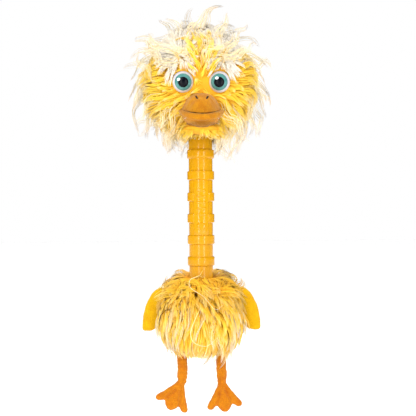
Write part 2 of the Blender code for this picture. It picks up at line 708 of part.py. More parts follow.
def build_head_fur():
    fur = ball("head_fur", HEAD_FUR_CENTRE, HEAD_FUR_RADII, YELLOW_FUR, segments=20, rings=12)
    cut(fur, ball("fur_skull_room", SKULL_CENTRE, wider(SKULL_RADII, FACET_ROOM)))
    cut(fur, bar("fur_neck_hole", (0, 0, 0.07), (0, 0, 0.11), COLLAR_RADIUS + 2 * GAP, sides=20))
    cut(fur, tie_groove("fur_tie_groove", 0.07, 92.5 * MM))
    cut(fur, block("fur_jaw_room", (-31 * MM, -0.1, 0.06), (31 * MM, -21 * MM, 107 * MM)))
    cut(fur, ball("fur_beak_room", BEAK_CENTRE, wider(BEAK_RADII, 2 * GAP)))
    for label, side in SIDES:
        pocket = bar(f"eye_pocket_{label}", (0, 0, -GAP), (0, 0, 0.05), EYE_RADIUS + 0.8 * MM, sides=16)
        stem = bar(f"eye_stem_room_{label}", (0, 0, -0.02), (0, 0, 0.01), STEM_RADIUS + 2 * GAP)
        pocket.matrix_world = eye_place(side)
        stem.matrix_world = eye_place(side)
        cut(fur, pocket, stem)
    tufts = (
        ("brow_tuft_left", (-32, -47, 180), (20, 12, 13)),
        ("brow_tuft_right", (32, -47, 180), (20, 12, 13)),
        ("crown_tuft", (0, -6, 214), (36, 32, 13)),
    )
    for name, centre, radii in tufts:
        middle, size = Vector(centre) * MM, Vector(radii) * MM
        ball(name, middle, size, CREAM_FUR, 16, 10)
        cut(fur, ball(f"{name}_room", middle, wider(size, 2 * GAP), segments=16, rings=10))
    build_tie("head_tie", 87 * MM)


def build_body():
    core = ball("body_stuffing", CORE_CENTRE, CORE_RADII, STUFFING, segments=20, rings=12)
    room_radius = BOTTOM_FLANGE_RADIUS + 2 * GAP
    cut(core, bar("stuffing_neck_room", (0, 0, -109 * MM), (0, 0, -80 * MM), room_radius, sides=20))

    fur = ball("body_fur", BODY_FUR_CENTRE, BODY_FUR_RADII, YELLOW_FUR, segments=20, rings=12)
    cut(fur, ball("fur_core_room", CORE_CENTRE, wider(CORE_RADII, 2 * GAP), segments=20, rings=12))
    cut(fur, bar("fur_neck_room", (0, 0, -109 * MM), (0, 0, -70 * MM), room_radius, sides=20))
    cut(fur, tie_groove("body_tie_groove", -97 * MM, -70 * MM))
    for label, side in SIDES:
        near, far = sorted((side * 29.3 * MM, side * 90 * MM))
        cut(fur, block(f"wing_slot_{label}", (near, -4.4 * MM, -170 * MM), (far, 4.4 * MM, -60 * MM)))
        near, far = sorted((side * (HIP.x - 8 * MM), side * (HIP.x + 8 * MM)))
        cut(fur, block(f"leg_slot_{label}", (near, -26 * MM, -0.21), (far, 26 * MM, -166 * MM)))
    build_tie("body_tie", -95.5 * MM)


def build_wings():
    """Each wing hangs from its shoulder: outline in (outward, up) from the shoulder."""
    points = [(-3, 8), (5, 11), (12, 8), (18, 1), (23.5, -10), (27, -23), (28.3, -34)]
    points += [(27.6, -39.5), (23, -41.5), (12, -38.5), (4, -24), (-4, -3)]
    for label, side in SIDES:
        flat = [(side * x * MM, y * MM) for x, y in points]
        wing = outline(f"wing_{label}", flat, WING_THICK, WING_PLUSH, smooth=True, bevel=1.5 * MM)
        centre = Vector((side * SHOULDER.x, 0.0, SHOULDER.z))
        wing.matrix_world = Matrix.Translation(centre) @ Matrix.Rotation(math.pi / 2, 4, "X")


def build_legs():
    """Each leg hangs from its hip, with a three-toed foot: outline in (across, along) from the ankle."""
    points = [(-5, -5), (5, -5), (7, -9), (14, -19), (20, -29), (19, -34), (14, -34), (10, -30)]
    points += [(6, -35), (2.5, -38.5), (-2.5, -38.5), (-6, -35), (-10, -30)]
    points += [(-14, -34), (-19, -34), (-20, -29), (-14, -19), (-7, -9)]
    for label, side in SIDES:
        top = Vector((side * HIP.x, 0.0, HIP.z))
        ankle = Vector((side * HIP.x, 0.0, ANKLE_HEIGHT))
        lower = ankle + Vector((0, 0, 2.6 * MM))
        leg = bar(f"leg_{label}", lower, top + Vector((0, 0, MM)), LEG_RADIUS, BEAK_PLUSH, sides=16)
        edge = leg.modifiers.new("rounded", "BEVEL")
        edge.width = 1.5 * MM
        edge.segments = 2
        hang_on(f"hip_axis_{label}", top, leg)
        flat = [(x * MM, y * MM) for x, y in points]
        foot = outline(f"foot_{label}", flat, FOOT_THICK, BEAK_PLUSH, smooth=True, bevel=2 * MM)
        turn = Matrix.Rotation(FOOT_SWING[label], 4, "Y") @ Matrix.Rotation(math.pi / 2 - FOOT_TILT, 4, "X")
        foot.matrix_world = Matrix.Translation(ankle) @ turn


build_neck()
build_linkage()
build_skull()
build_jaw()
build_beak()
build_eyes()
build_head_fur()
build_body()
build_wings()
build_legs()
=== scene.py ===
"""Looks of the moving mouth puppet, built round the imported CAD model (metres, +Z up, facing -Y)."""
import json
import math

import bmesh
import bpy
import numpy as np
from mathutils import Matrix, Vector
from mathutils.bvhtree import BVHTree
from mathutils.geometry import delaunay_2d_cdt


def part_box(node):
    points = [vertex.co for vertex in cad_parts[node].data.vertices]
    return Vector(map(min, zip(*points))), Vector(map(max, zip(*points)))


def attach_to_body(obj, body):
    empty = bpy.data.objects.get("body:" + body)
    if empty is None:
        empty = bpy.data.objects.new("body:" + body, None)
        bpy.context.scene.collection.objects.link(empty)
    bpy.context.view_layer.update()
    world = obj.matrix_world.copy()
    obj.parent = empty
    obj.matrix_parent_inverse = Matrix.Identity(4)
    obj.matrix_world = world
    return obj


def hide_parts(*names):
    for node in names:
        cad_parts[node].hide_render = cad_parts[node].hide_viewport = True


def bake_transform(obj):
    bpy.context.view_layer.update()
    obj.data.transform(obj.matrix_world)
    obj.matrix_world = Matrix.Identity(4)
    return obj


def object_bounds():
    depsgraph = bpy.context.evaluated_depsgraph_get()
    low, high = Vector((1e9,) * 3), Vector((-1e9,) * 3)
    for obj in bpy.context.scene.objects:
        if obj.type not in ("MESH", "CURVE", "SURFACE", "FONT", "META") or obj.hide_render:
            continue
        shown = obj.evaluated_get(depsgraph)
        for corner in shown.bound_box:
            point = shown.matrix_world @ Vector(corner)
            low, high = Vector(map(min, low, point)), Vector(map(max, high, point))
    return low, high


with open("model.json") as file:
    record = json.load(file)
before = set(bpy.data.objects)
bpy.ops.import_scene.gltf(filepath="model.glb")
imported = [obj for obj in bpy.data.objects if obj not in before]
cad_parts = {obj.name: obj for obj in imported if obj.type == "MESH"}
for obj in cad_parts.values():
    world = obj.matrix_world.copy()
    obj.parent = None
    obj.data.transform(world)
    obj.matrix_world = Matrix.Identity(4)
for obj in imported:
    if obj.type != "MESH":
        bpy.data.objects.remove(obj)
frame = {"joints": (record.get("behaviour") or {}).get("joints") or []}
CAD_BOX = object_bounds()
MM = 0.001
SIDES = (("left", -1.0), ("right", 1.0))
DOWN = np.array((0.0, 0.0, -1.0))
CAMERA_DISTANCE = 0.9
VIEW_HALF_WIDTH = 0.2496  # what the view spans to each side at the neck
FLOOR_DROP = 0.06


# ---------------------------------------------------------------- view and light

def build_view():
    scene = bpy.context.scene
    scene.view_settings.view_transform = "Standard"
    lens = bpy.data.cameras.new("view")
    lens.sensor_width = 36.0
    lens.angle = 2.0 * math.atan(VIEW_HALF_WIDTH / CAMERA_DISTANCE)
    lens.clip_start = 0.01
    camera = bpy.data.objects.new("view", lens)
    camera.location = (-0.026, -CAMERA_DISTANCE, -0.0005)
    camera.rotation_euler = (math.pi / 2, math.radians(0.35), math.radians(-2.2))
    scene.collection.objects.link(camera)
    scene.camera = camera

    world = bpy.data.worlds.new("studio")
    world.use_nodes = True
    background = world.node_tree.nodes["Background"]
    background.inputs["Color"].default_value = (1.0, 1.0, 1.0, 1.0)
    background.inputs["Strength"].default_value = 1.0
    scene.world = world
    world.cycles_visibility.glossy = False

    lamps = (
        ("key", (-0.35, -0.9, 0.80), 0.7, 0.5, 4.5),
        ("strip_left", (-0.40, -0.95, 0.05), 0.09, 1.0, 4.0),
        ("strip_right", (0.50, -0.95, 0.05), 0.09, 1.0, 4.0),
        ("back_left", (-0.75, 0.80, 0.35), 0.5, 0.8, 5.0),
        ("back_right", (0.80, 0.70, 0.35), 0.5, 0.8, 5.0),
    )
    for name, place, width, height, power in lamps:
        data = bpy.data.lights.new(name, "AREA")
        data.shape = "RECTANGLE"
        data.size, data.size_y, data.energy = width, height, power
        lamp = bpy.data.objects.new(name, data)
        lamp.location = place
        lamp.rotation_euler = (-Vector(place)).to_track_quat("-Z", "Y").to_euler()
        lamp.visible_glossy = not name.startswith("back")
        scene.collection.objects.link(lamp)


def build_floor():
    bpy.ops.mesh.primitive_plane_add(size=12.0, location=(0.0, 0.0, CAD_BOX[0][2] - FLOOR_DROP))
    floor = bpy.context.object
    floor.name = "floor"
    look = Shader("floor_white", (0.95, 0.95, 0.95), 0.8, Emission_Strength=0.15)
    look.shader.inputs["Emission Color"].default_value = (1.0, 1.0, 1.0, 1.0)
    floor.data.materials.append(look.material)


# ---------------------------------------------------------------- materials

class Shader:
    """A Principled material and short ways to add procedural detail to it."""

    def __init__(self, name, colour, roughness, metallic=0.0, **extra):
        self.material = bpy.data.materials.new(name)
        self.material.use_nodes = True
        self.nodes = self.material.node_tree.nodes
        self.links = self.material.node_tree.links
        self.shader = self.nodes["Principled BSDF"]
        self.shader.inputs["Base Color"].default_value = (*colour, 1.0)
        self.shader.inputs["Roughness"].default_value = roughness
        self.shader.inputs["Metallic"].default_value = metallic
        for key, value in extra.items():
            self.shader.inputs[key.replace("_", " ")].default_value = value
        self.place = self.nodes.new("ShaderNodeTexCoord").outputs["Object"]

    def noise(self, scale, detail=3.0, stretch=None, roughness=0.5):
        node = self.nodes.new("ShaderNodeTexNoise")
        node.inputs["Scale"].default_value = scale
        node.inputs["Detail"].default_value = detail
        node.inputs["Roughness"].default_value = roughness
        source = self.place
        if stretch is not None:
            mapping = self.nodes.new("ShaderNodeMapping")
            mapping.inputs["Scale"].default_value = stretch
            self.links.new(source, mapping.inputs["Vector"])
            source = mapping.outputs["Vector"]
        self.links.new(source, node.inputs["Vector"])
        return node.outputs["Fac"]

    def attribute(self, name):
        node = self.nodes.new("ShaderNodeAttribute")
        node.attribute_name = name
        return node

    def ramp(self, source, stops):
        """Colours, or grey values, at given places along a 0 to 1 value."""
        node = self.nodes.new("ShaderNodeValToRGB")
        ramp = node.color_ramp
        while len(ramp.elements) < len(stops):
            ramp.elements.new(0.5)
        for element, (place, value) in zip(ramp.elements, stops):
            element.position = place
            element.color = (*value, 1.0) if isinstance(value, tuple) else (value, value, value, 1.0)
        self.links.new(source, node.inputs["Fac"])
        return node.outputs["Color"]

    def mix(self, amount, first, second, blend="MIX"):
        node = self.nodes.new("ShaderNodeMix")
        node.data_type = "RGBA"
        node.blend_type = blend
        for value, socket in ((amount, node.inputs[0]), (first, node.inputs[6]), (second, node.inputs[7])):
            if isinstance(value, bpy.types.NodeSocket):
                self.links.new(value, socket)
            elif isinstance(value, tuple):
                socket.default_value = (*value, 1.0)
            else:
                socket.default_value = value
        return node.outputs[2]

    def math(self, operation, first, second=0.5, third=0.5):
        node = self.nodes.new("ShaderNodeMath")
        node.operation = operation
        for i, value in enumerate((first, second, third)):
            if isinstance(value, bpy.types.NodeSocket):
                self.links.new(value, node.inputs[i])
            else:
                node.inputs[i].default_value = value
        return node.outputs[0]

    def colour(self, source):
        self.links.new(source, self.shader.inputs["Base Color"])
        return self

    def roughness(self, source, low, high):
        self.links.new(self.ramp(source, ((0.3, low), (0.7, high))), self.shader.inputs["Roughness"])
        return self

    def bump(self, source, strength, depth):
        node = self.nodes.new("ShaderNodeBump")
        node.inputs["Strength"].default_value = strength
        node.inputs["Distance"].default_value = depth
        self.links.new(source, node.inputs["Height"])
        self.links.new(node.outputs["Normal"], self.shader.inputs["Normal"])
        return self


def moulded_plastic(name, light, deep, roughness):
    look = Shader(name, light, roughness, Coat_Weight=0.25, Coat_Roughness=0.05, Specular_IOR_Level=0.2)
    flow = look.noise(55.0, 4.0, stretch=(1.0, 1.0, 0.25))
    look.colour(look.ramp(flow, ((0.3, deep), (0.7, light))))
    look.roughness(look.noise(240.0, 5.0), roughness - 0.05, roughness + 0.10)
    look.bump(look.noise(700.0, 2.0), 0.12, 0.0002)
    return look.material


def velour(name, light, deep, nap=1.0, painted_shade_by_height=()):
    """Short dense pile: mottled where the nap is brushed two ways, with a soft sheen.

    The (height, brightness) pairs are painted shade: the colour is darker where shade falls, in the bowl
    under the lip and along the mouth line.
    """
    look = Shader(name, light, 0.92, Sheen_Weight=0.35, Sheen_Roughness=0.45, Specular_IOR_Level=0.15)
    look.shader.inputs["Sheen Tint"].default_value = (1.0, 0.80, 0.45, 1.0)
    brushed = look.noise(130.0, 4.0, roughness=0.6)
    broad = look.ramp(look.noise(38.0, 2.0), ((0.35, deep), (0.65, light)))
    speck = look.ramp(look.noise(1500.0, 2.0), ((0.35, 0.72), (0.62, 1.0)))
    tone = look.mix(0.75, broad, look.ramp(brushed, ((0.3, deep), (0.68, light))))
    tone = look.mix(1.0, tone, speck, "MULTIPLY")
    # Painted shade: the colour is multiplied darker by height, under the lip and at the mouth line.
    if painted_shade_by_height:
        low, high = painted_shade_by_height[0][0], painted_shade_by_height[-1][0]
        split = look.nodes.new("ShaderNodeSeparateXYZ")
        look.links.new(look.place, split.inputs["Vector"])
        part = look.math("DIVIDE", look.math("SUBTRACT", split.outputs["Z"], low), high - low)
        stops = [((height - low) / (high - low), value) for height, value in painted_shade_by_height]
        tone = look.mix(1.0, tone, look.ramp(part, stops), "MULTIPLY")
    look.colour(tone)
    pile = look.math("ADD", look.noise(1900.0, 2.0), look.math("MULTIPLY", brushed, 0.9))
    look.bump(pile, 0.55 * nap, 0.0006)
    return look.material


def pile(name, root, middle, tip, spread=0.16):
    """Fur fibre: colour runs from root to tip, and each strand has its own tone; the darker root is partly
    the fibre's colour and partly painted shade deep in the pile.
    """
    look = Shader(name, middle, 0.55, Sheen_Weight=0.15, Sheen_Roughness=0.4, Specular_IOR_Level=0.25)
    along = look.attribute("along").outputs["Fac"]
    tone = look.attribute("tone").outputs["Fac"]
    streak = look.math("MULTIPLY_ADD", look.noise(260.0, 3.0), 0.25, -0.125)
    shifted = look.math("ADD", along, streak)
    # The root stop is partly the fibre's own colour and partly painted shade, where shade falls deep in the
    # pile between the locks.
    base = look.ramp(shifted, ((0.0, root), (0.28, middle), (0.62, middle), (1.0, tip)))
    warm = (1.0 - 0.3 * spread, 1.0 - 1.3 * spread, 1.0 - 3.0 * spread)
    shade = look.ramp(tone, ((0.0, warm), (0.8, (1.0, 1.0, 1.0))))
    look.colour(look.mix(1.0, base, shade, "MULTIPLY"))
    look.roughness(look.noise(500.0, 2.0), 0.45, 0.65)
    return look.material


def finish(name, colour, roughness, metallic=0.0):
    """Plain moulded, drawn or woven finish of the inner parts, with fine grain."""
    look = Shader(name, colour, roughness, metallic)
    deep = tuple(0.88 * value for value in colour)
    look.colour(look.ramp(look.noise(90.0, 4.0), ((0.3, deep), (0.7, colour))))
    look.roughness(look.noise(300.0, 3.0), roughness - 0.08, roughness + 0.1)
    look.bump(look.noise(1100.0, 2.0), 0.15, 0.0001)
    return look.material


def iris_paint(name, light, deep):
    """Printed iris: fine mottling under a clear gloss."""
    look = Shader(name, light, 0.14, Specular_IOR_Level=0.3)
    look.colour(look.ramp(look.noise(420.0, 4.0), ((0.35, deep), (0.65, light))))
    look.roughness(look.noise(200.0, 2.0), 0.1, 0.2)
    return look.material


build_view()
build_floor()
NECK = moulded_plastic("neck_plastic", (0.61, 0.300, 0.001), (0.56, 0.260, 0.001), 0.22)
# The beak's colour holds painted shade: darker in the bowl under the lip roll and just above the mouth line.
BEAK = velour(
    "beak_velour", (0.60, 0.245, 0.003), (0.46, 0.14, 0.002),
    painted_shade_by_height=((0.088, 0.46), (0.0945, 0.60), (0.0968, 0.98), (0.1035, 0.93), (0.105, 0.80), (0.120, 1.0)),
)
FOOT = velour("foot_velour", (0.68, 0.24, 0.004), (0.52, 0.13, 0.003), 1.5)
WING = velour("wing_velour", (0.74, 0.42, 0.002), (0.66, 0.33, 0.002))
# Each pile's darker root colour is partly painted shade deep in the pile.
YELLOW = pile("yellow_pile", (0.90, 0.40, 0.008), (1.0, 0.66, 0.05), (0.99, 0.82, 0.38))
GOLD = pile("gold_pile", (0.88, 0.37, 0.006), (0.98, 0.59, 0.035), (0.97, 0.74, 0.27), 0.2)
HONEY = pile("honey_pile", (0.95, 0.52, 0.05), (0.95, 0.74, 0.36), (0.91, 0.76, 0.64))
BLOND = pile("blond_pile", (0.95, 0.62, 0.08), (0.94, 0.80, 0.50), (0.90, 0.76, 0.66))
CREAM = pile("cream_pile", (0.95, 0.84, 0.56), (0.95, 0.88, 0.74), (0.92, 0.83, 0.77), 0.07)
SKIN = finish("pile_backing", (0.78, 0.38, 0.008), 0.9)
SCLERA = finish("eye_white_gloss", (0.62, 0.61, 0.66), 0.16)
IRIS = iris_paint("iris_teal", (0.100, 0.270, 0.250), (0.060, 0.200, 0.190))
PUPIL = finish("pupil_black", (0.002, 0.0025, 0.006), 0.25)
PUPIL.node_tree.nodes["Principled BSDF"].inputs["Specular IOR Level"].default_value = 0.12
GLINT = finish("glint_white", (0.95, 0.95, 0.95), 0.25)
INNER = finish("inner_plastic", (0.84, 0.82, 0.76), 0.45)
STEEL = finish("zinc_steel", (0.60, 0.60, 0.62), 0.32, 1.0)
NYLON = finish("tie_nylon", (0.86, 0.86, 0.83), 0.42)
FIBRE = finish("stuffing_cloth", (0.88, 0.88, 0.86), 0.95)
THREAD = finish("black_thread", (0.012, 0.012, 0.014), 0.6)


# ---------------------------------------------------------------- mesh tools

def link(name, mesh, material):
    mesh.materials.append(material)
    obj = bpy.data.objects.new(name, mesh)
    bpy.context.scene.collection.objects.link(obj)
    return obj


def from_work(name, work, material):
    """An object from an edit mesh, which is used up."""
    mesh = bpy.data.meshes.new(name)
    work.to_mesh(mesh)
    work.free()
    return link(name, mesh, material)


def attach(piece, slot, body, *nodes, fill=None):
    """The piece moves with a body and stands for CAD nodes, which it hides; slot and fill are not used."""
    if nodes:
        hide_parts(*nodes)
    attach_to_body(piece, body)


def add_mesh(name, vertices, faces, material, smooth=True):
    mesh = bpy.data.meshes.new(name)
    mesh.from_pydata([tuple(v) for v in vertices], [], [tuple(f) for f in faces])
    mesh.update()
    if smooth:
        mesh.shade_smooth()
    return link(name, mesh, material)


def lathe(name, profile, material, place=Matrix(), steps=72, start=0.0, sweep=math.tau, smooth=True):
    """A (radius, height) profile turned about local Z; ends on the axis are closed."""
    full = abs(sweep - math.tau) < 1e-6
    columns = steps if full else steps + 1
    vertices = []
    for i in range(columns):
        angle = start + sweep * i / steps
        for radius, height in profile:
            vertices.append(place @ Vector((radius * math.cos(angle), radius * math.sin(angle), height)))
    count = len(profile)
    faces = []
    for i in range(steps):
        a, b = i * count, ((i + 1) % columns) * count
        for j in range(count - 1):
            faces.append((a + j, a + j + 1, b + j + 1, b + j))
    obj = add_mesh(name, vertices, faces, material, smooth)
    weld(obj)
    return obj


def weld(obj, distance=0.000005):
    work = bmesh.new()
    work.from_mesh(obj.data)
    bmesh.ops.remove_doubles(work, verts=work.verts, dist=distance)
    bmesh.ops.recalc_face_normals(work, faces=work.faces)
    work.to_mesh(obj.data)
    work.free()


def apply_modifiers(obj):
    bpy.context.view_layer.update()
    graph = bpy.context.evaluated_depsgraph_get()
    mesh = bpy.data.meshes.new_from_object(obj.evaluated_get(graph))
    old = obj.data
    obj.modifiers.clear()
    obj.data = mesh
    bpy.data.meshes.remove(old)
    mesh.shade_smooth()
    return obj


def remesh(obj, size, smooth_steps=6, factor=0.5):
    """One continuous skin over everything in the object."""
    step = obj.modifiers.new("voxels", "REMESH")
    step.mode = "VOXEL"
    step.voxel_size = size
    step = obj.modifiers.new("ease", "SMOOTH")
    step.factor = factor
    step.iterations = smooth_steps
    return apply_modifiers(obj)


def merge(name, *pieces):
    """Several meshes as one object."""
    work = bmesh.new()
    for piece in pieces:
        work.from_mesh(piece.data)
    material = pieces[0].data.materials[0]
    for piece in pieces:
        bpy.data.objects.remove(piece, do_unlink=True)
    return from_work(name, work, material)


def coordinates(obj):
    points = np.empty(len(obj.data.vertices) * 3)
    obj.data.vertices.foreach_get("co", points)
    return points.reshape(-1, 3)


def set_coordinates(obj, points):
    obj.data.vertices.foreach_set("co", points.reshape(-1))
    obj.data.update()


def ripple(points, scale, seed):
    """Smooth unevenness of sewn cloth, about -1 to 1, from a few crossing waves."""
    rng = np.random.default_rng(seed)
    total = np.zeros(len(points))
    for _ in range(7):
        way = normalise(rng.normal(size=3))
        pitch = scale * rng.uniform(0.6, 1.6)
        total += np.sin(points @ way * math.tau / pitch + rng.uniform(0.0, math.tau))
    return total / 3.5


def point_normals(obj):
    normals = np.empty(len(obj.data.vertices) * 3)
    obj.data.vertices.foreach_get("normal", normals)
    return normals.reshape(-1, 3)


def napped(obj, *waves):
    """The object's points moved in and out by waves, each a (height, pitch, seed) in millimetres."""
    points = coordinates(obj)
    nap = sum(height * ripple(points, pitch * MM, seed) for height, pitch, seed in waves)
    return points + point_normals(obj) * (nap * MM)[:, None]


def ellipsoid(name, centre, radii, material, segments=96, rings=64):
    work = bmesh.new()
    bmesh.ops.create_uvsphere(work, u_segments=segments, v_segments=rings, radius=1.0)
    bmesh.ops.transform(work, matrix=Matrix.Diagonal((*radii, 1.0)), verts=work.verts)
    bmesh.ops.translate(work, vec=centre, verts=work.verts)
    obj = from_work(name, work, material)
    obj.data.shade_smooth()
    return obj


# ---------------------------------------------------------------- fur

class Skin:
    """An ellipsoid that fur grows on, and the one whose rounding its light follows."""

    def __init__(self, centre, radii, lit_like=None):
        self.centre = np.array(centre) * MM
        self.radii = np.array(radii) * MM
        self.lit_like = lit_like or self

    def spread(self, count, rng, jitter=0.6):
        """Evenly spread roots with their outward normals."""
        index = np.arange(count) + 0.5
        height = 1.0 - 2.0 * index / count
        turn = math.pi * (1.0 + math.sqrt(5.0)) * index
        turn += rng.normal(0.0, jitter * 2.0 / math.sqrt(count), count)
        height = np.clip(height + rng.normal(0.0, jitter * 1.5 / count ** 0.75, count), -0.9999, 0.9999)
        ring = np.sqrt(1.0 - height ** 2)
        unit = np.stack((ring * np.cos(turn), ring * np.sin(turn), height), axis=1)
        return self.centre + unit * self.radii, self.normals(unit)

    def normals(self, unit):
        return normalise(unit / self.radii)

    def outward(self, points):
        return normalise((points - self.centre) / self.radii ** 2)

    def push_out(self, points, gap):
        """Moves points that fell inside back to just above the skin."""
        relative = (points - self.centre) / self.radii
        reach = np.linalg.norm(relative, axis=-1, keepdims=True)
        least = 1.0 + gap / self.radii.mean()
        return np.where(reach < least, self.centre + relative / reach * least * self.radii, points)


def normalise(vectors):
    return vectors / np.maximum(np.linalg.norm(vectors, axis=-1, keepdims=True), 1e-9)


def trace(skin, roots, normals, comb, length, lift, droop, wave, turns, phase, steps, hug, rest=0.7):
    """Follows each hair from its root: up off the skin, over along the comb, then down.

    hug bends the comb round with the skin, from 0 for a straight line to 1 for lying flat.
    """
    points = [roots]
    step = (length / steps)[:, None]
    lift, droop, wave = lift[:, None], droop[:, None], wave[:, None]
    for k in range(steps):
        t = (k + 0.5) / steps
        swing = wave * np.sin(math.tau * (turns * t + phase))[:, None]
        rise = wave * np.cos(math.tau * (turns * t * 0.8 + phase * 1.7))[:, None]
        up = normals + (skin.outward(points[-1]) - normals) * hug
        way = comb + (along_skin(comb, skin.outward(points[-1])) - comb) * hug
        heading = up * (lift * (1.0 - t) ** rest + 0.5 * rise) + way * (1.0 - lift * (1.0 - t))
        heading = heading + normalise(np.cross(up, way)) * swing + DOWN * (droop * t)
        moved = points[-1] + normalise(heading) * step
        points.append(skin.push_out(moved, 0.0012 + 0.0025 * t))
    return np.stack(points, axis=1)


def nearest(points, centres):
    """Index of the closest centre to each point."""
    found = np.empty(len(points), dtype=int)
    for i in range(0, len(points), 2000):
        gap = np.linalg.norm(points[i:i + 2000, None, :] - centres[None, :, :], axis=2)
        found[i:i + 2000] = gap.argmin(axis=1)
    return found


def strands(name, skin, curves, thickness, tone, material, taper=0.75):
    """Tapered three-sided fibres along the curves, closed at both ends, lit as one soft pile."""
    count, rows, _ = curves.shape
    along = np.linspace(0.0, 1.0, rows)
    tangent = normalise(np.gradient(curves, axis=1))
    reference = np.array((0.31, 0.52, 0.79))
    side = normalise(np.cross(tangent, reference))
    up = np.cross(tangent, side)
    radius = thickness[:, None] / 2.0 * (0.12 + 0.88 * (1.0 - along[None, :] ** 1.6) ** taper)
    rings = []
    for k in range(3):
        angle = math.tau * k / 3.0
        rings.append(curves + (side * math.cos(angle) + up * math.sin(angle)) * radius[..., None])
    body = np.stack(rings, axis=2)[:, :-1].reshape(count, (rows - 1) * 3, 3)
    vertices = np.concatenate((body, curves[:, -1:, :]), axis=1)
    per = vertices.shape[1]
    spine = np.concatenate((np.repeat(curves[:, :-1], 3, axis=1), curves[:, -1:, :]), axis=1)
    outward = skin.lit_like.outward(vertices)
    facing = normalise(0.7 * outward + 0.5 * normalise(vertices - spine))
    quads = []
    for row in range(rows - 2):
        for k in range(3):
            a, b = row * 3 + k, row * 3 + (k + 1) % 3
            quads.append((a, b, b + 3, a + 3))
    last = (rows - 2) * 3
    triangles = [(last + k, last + (k + 1) % 3, per - 1) for k in range(3)] + [(2, 1, 0)]
    offset = (np.arange(count) * per)[:, None, None]
    quad_index = (np.array(quads)[None] + offset).reshape(-1)
    tri_index = (np.array(triangles)[None] + offset).reshape(-1)
    mesh = bpy.data.meshes.new(name)
    mesh.vertices.add(count * per)
    mesh.vertices.foreach_set("co", vertices.reshape(-1))
    loops = np.concatenate((quad_index, tri_index))
    mesh.loops.add(len(loops))
    mesh.loops.foreach_set("vertex_index", loops)
    sizes = np.concatenate((np.full(len(quad_index) // 4, 4), np.full(len(tri_index) // 3, 3)))
    starts = np.concatenate(((0,), np.cumsum(sizes)[:-1]))
    mesh.polygons.add(len(sizes))
    mesh.polygons.foreach_set("loop_start", starts)
    mesh.update(calc_edges=True)
    mesh.shade_smooth()
    place = np.concatenate((np.repeat(along[:-1], 3), (1.0,)))
    for label, values in (("along", np.tile(place, count)), ("tone", np.repeat(tone, per))):
        layer = mesh.attributes.new(label, "FLOAT", "POINT")
        layer.data.foreach_set("value", values)
    mesh.normals_split_custom_set_from_vertices(facing.reshape(-1, 3))
    return link(name, mesh, material)


def keep_in_box(curves, low, high):
    """Shortens a hair that would leave the allowed box."""
    root = curves[:, :1, :]
    reach = curves - root
    with np.errstate(divide="ignore", invalid="ignore"):
        room = np.where(reach > 0, (high - root) / reach, (low - root) / reach)
    room = np.where(np.abs(reach) < 1e-6, 1.0, room)
    scale = np.clip(room.min(axis=(1, 2)), 0.05, 1.0)
    return root + reach * scale[:, None, None]


CAD_LOW, CAD_HIGH = np.array(CAD_BOX[0]), np.array(CAD_BOX[1])
HAIR_ROOM = 0.03 * (CAD_HIGH - CAD_LOW) + 9.0 * MM
BOX_LOW, BOX_HIGH = CAD_LOW - HAIR_ROOM, CAD_HIGH + HAIR_ROOM


def grow(name, skin, count, locks, style, material, seed, steps, clump, thick, hug):
    """Fur on a skin. style(points, normals, rng) gives each lock's comb, length, lift and so on."""
    rng = np.random.default_rng(seed)
    roots, normals = skin.spread(count, rng)
    lock_roots, lock_normals = skin.spread(locks, rng)
    owner = nearest(roots, lock_roots)
    guide = style(lock_roots, lock_normals, rng)
    wanted = guide["keep"][owner]
    roots, normals, owner = roots[wanted], normals[wanted], owner[wanted]
    spare = len(roots)

    def curves(points, outward, index, loose):
        keys = ("comb", "length", "lift", "droop", "wave", "turns", "phase")
        values = {key: guide[key][index] for key in keys}
        size = len(points)
        comb = values["comb"] + rng.normal(0.0, 0.10 * loose, (size, 3))
        comb = normalise(comb - outward * (comb * outward).sum(axis=1, keepdims=True))
        length = values["length"] * (1.0 + rng.normal(0.0, 0.10 * loose, size))
        return trace(
            skin, points, outward, comb, length, values["lift"], values["droop"], values["wave"],
            values["turns"], values["phase"] + rng.normal(0.0, 0.03 * loose, size), steps, hug,
        )

    lines = curves(roots, normals, owner, 1.0)
    guides = curves(lock_roots, lock_normals, np.arange(locks), 0.0)
    t = np.linspace(0.0, 1.0, steps + 1)[None, :, None]
    pull = clump * t ** 0.9
    lines = lines * (1.0 - pull) + guides[owner] * pull
    tone = np.clip(guide["tone"][owner] + rng.normal(0.0, 0.2, spare), 0.0, 1.0)
    kept = clear_of_face(lines)
    lines = keep_in_box(lines[kept], BOX_LOW, BOX_HIGH)
    width = rng.uniform(thick[0], thick[1], len(lines)) * MM
    return strands(name, skin, lines, width, tone[kept], material)


# ---------------------------------------------------------------- places taken from the frame

def middle(node):
    low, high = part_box(node)
    return (Vector(low) + Vector(high)) / 2.0


GAZE = {"left": math.radians(0.0), "right": math.radians(-4.0)}
GAZE_DOWN = math.radians(10.5)
GLINT_PLACE = {"left": (-5.2, 3.0), "right": (-2.6, 4.6)}


def eye_axis(label):
    """Where an eye's dome starts, from its washer and its iris, and the way it looks."""
    washer, iris = middle(f"eye_washer_{label}"), middle(f"iris_{label}")
    socket = (iris - washer).normalized()
    outward = Vector((math.sin(GAZE[label]), -math.cos(GAZE[label]), -math.tan(GAZE_DOWN))).normalized()
    return iris - socket * 9.8 * MM, outward


JOINT_POINTS = {joint["name"]: Vector(joint["pos_m"]) for joint in frame["joints"] if "pos_m" in joint}
EYES = [eye_axis(label) for label, _ in SIDES]
EYE_RADIUS = 12.25 * MM
HEAD_SKIN = Skin((0.0, 2.0, 151.0), (57.0, 51.0, 57.0))
BODY_SKIN = Skin((0.0, 0.0, -132.0), (42.0, 39.0, 37.0))
RUFF_SKIN = Skin((0.0, 1.0, -95.5), (31.0, 30.0, 12.5), BODY_SKIN)
CHIN_SKIN = Skin((0.0, -43.5, 89.8), (20.5, 17.0, 6.0))


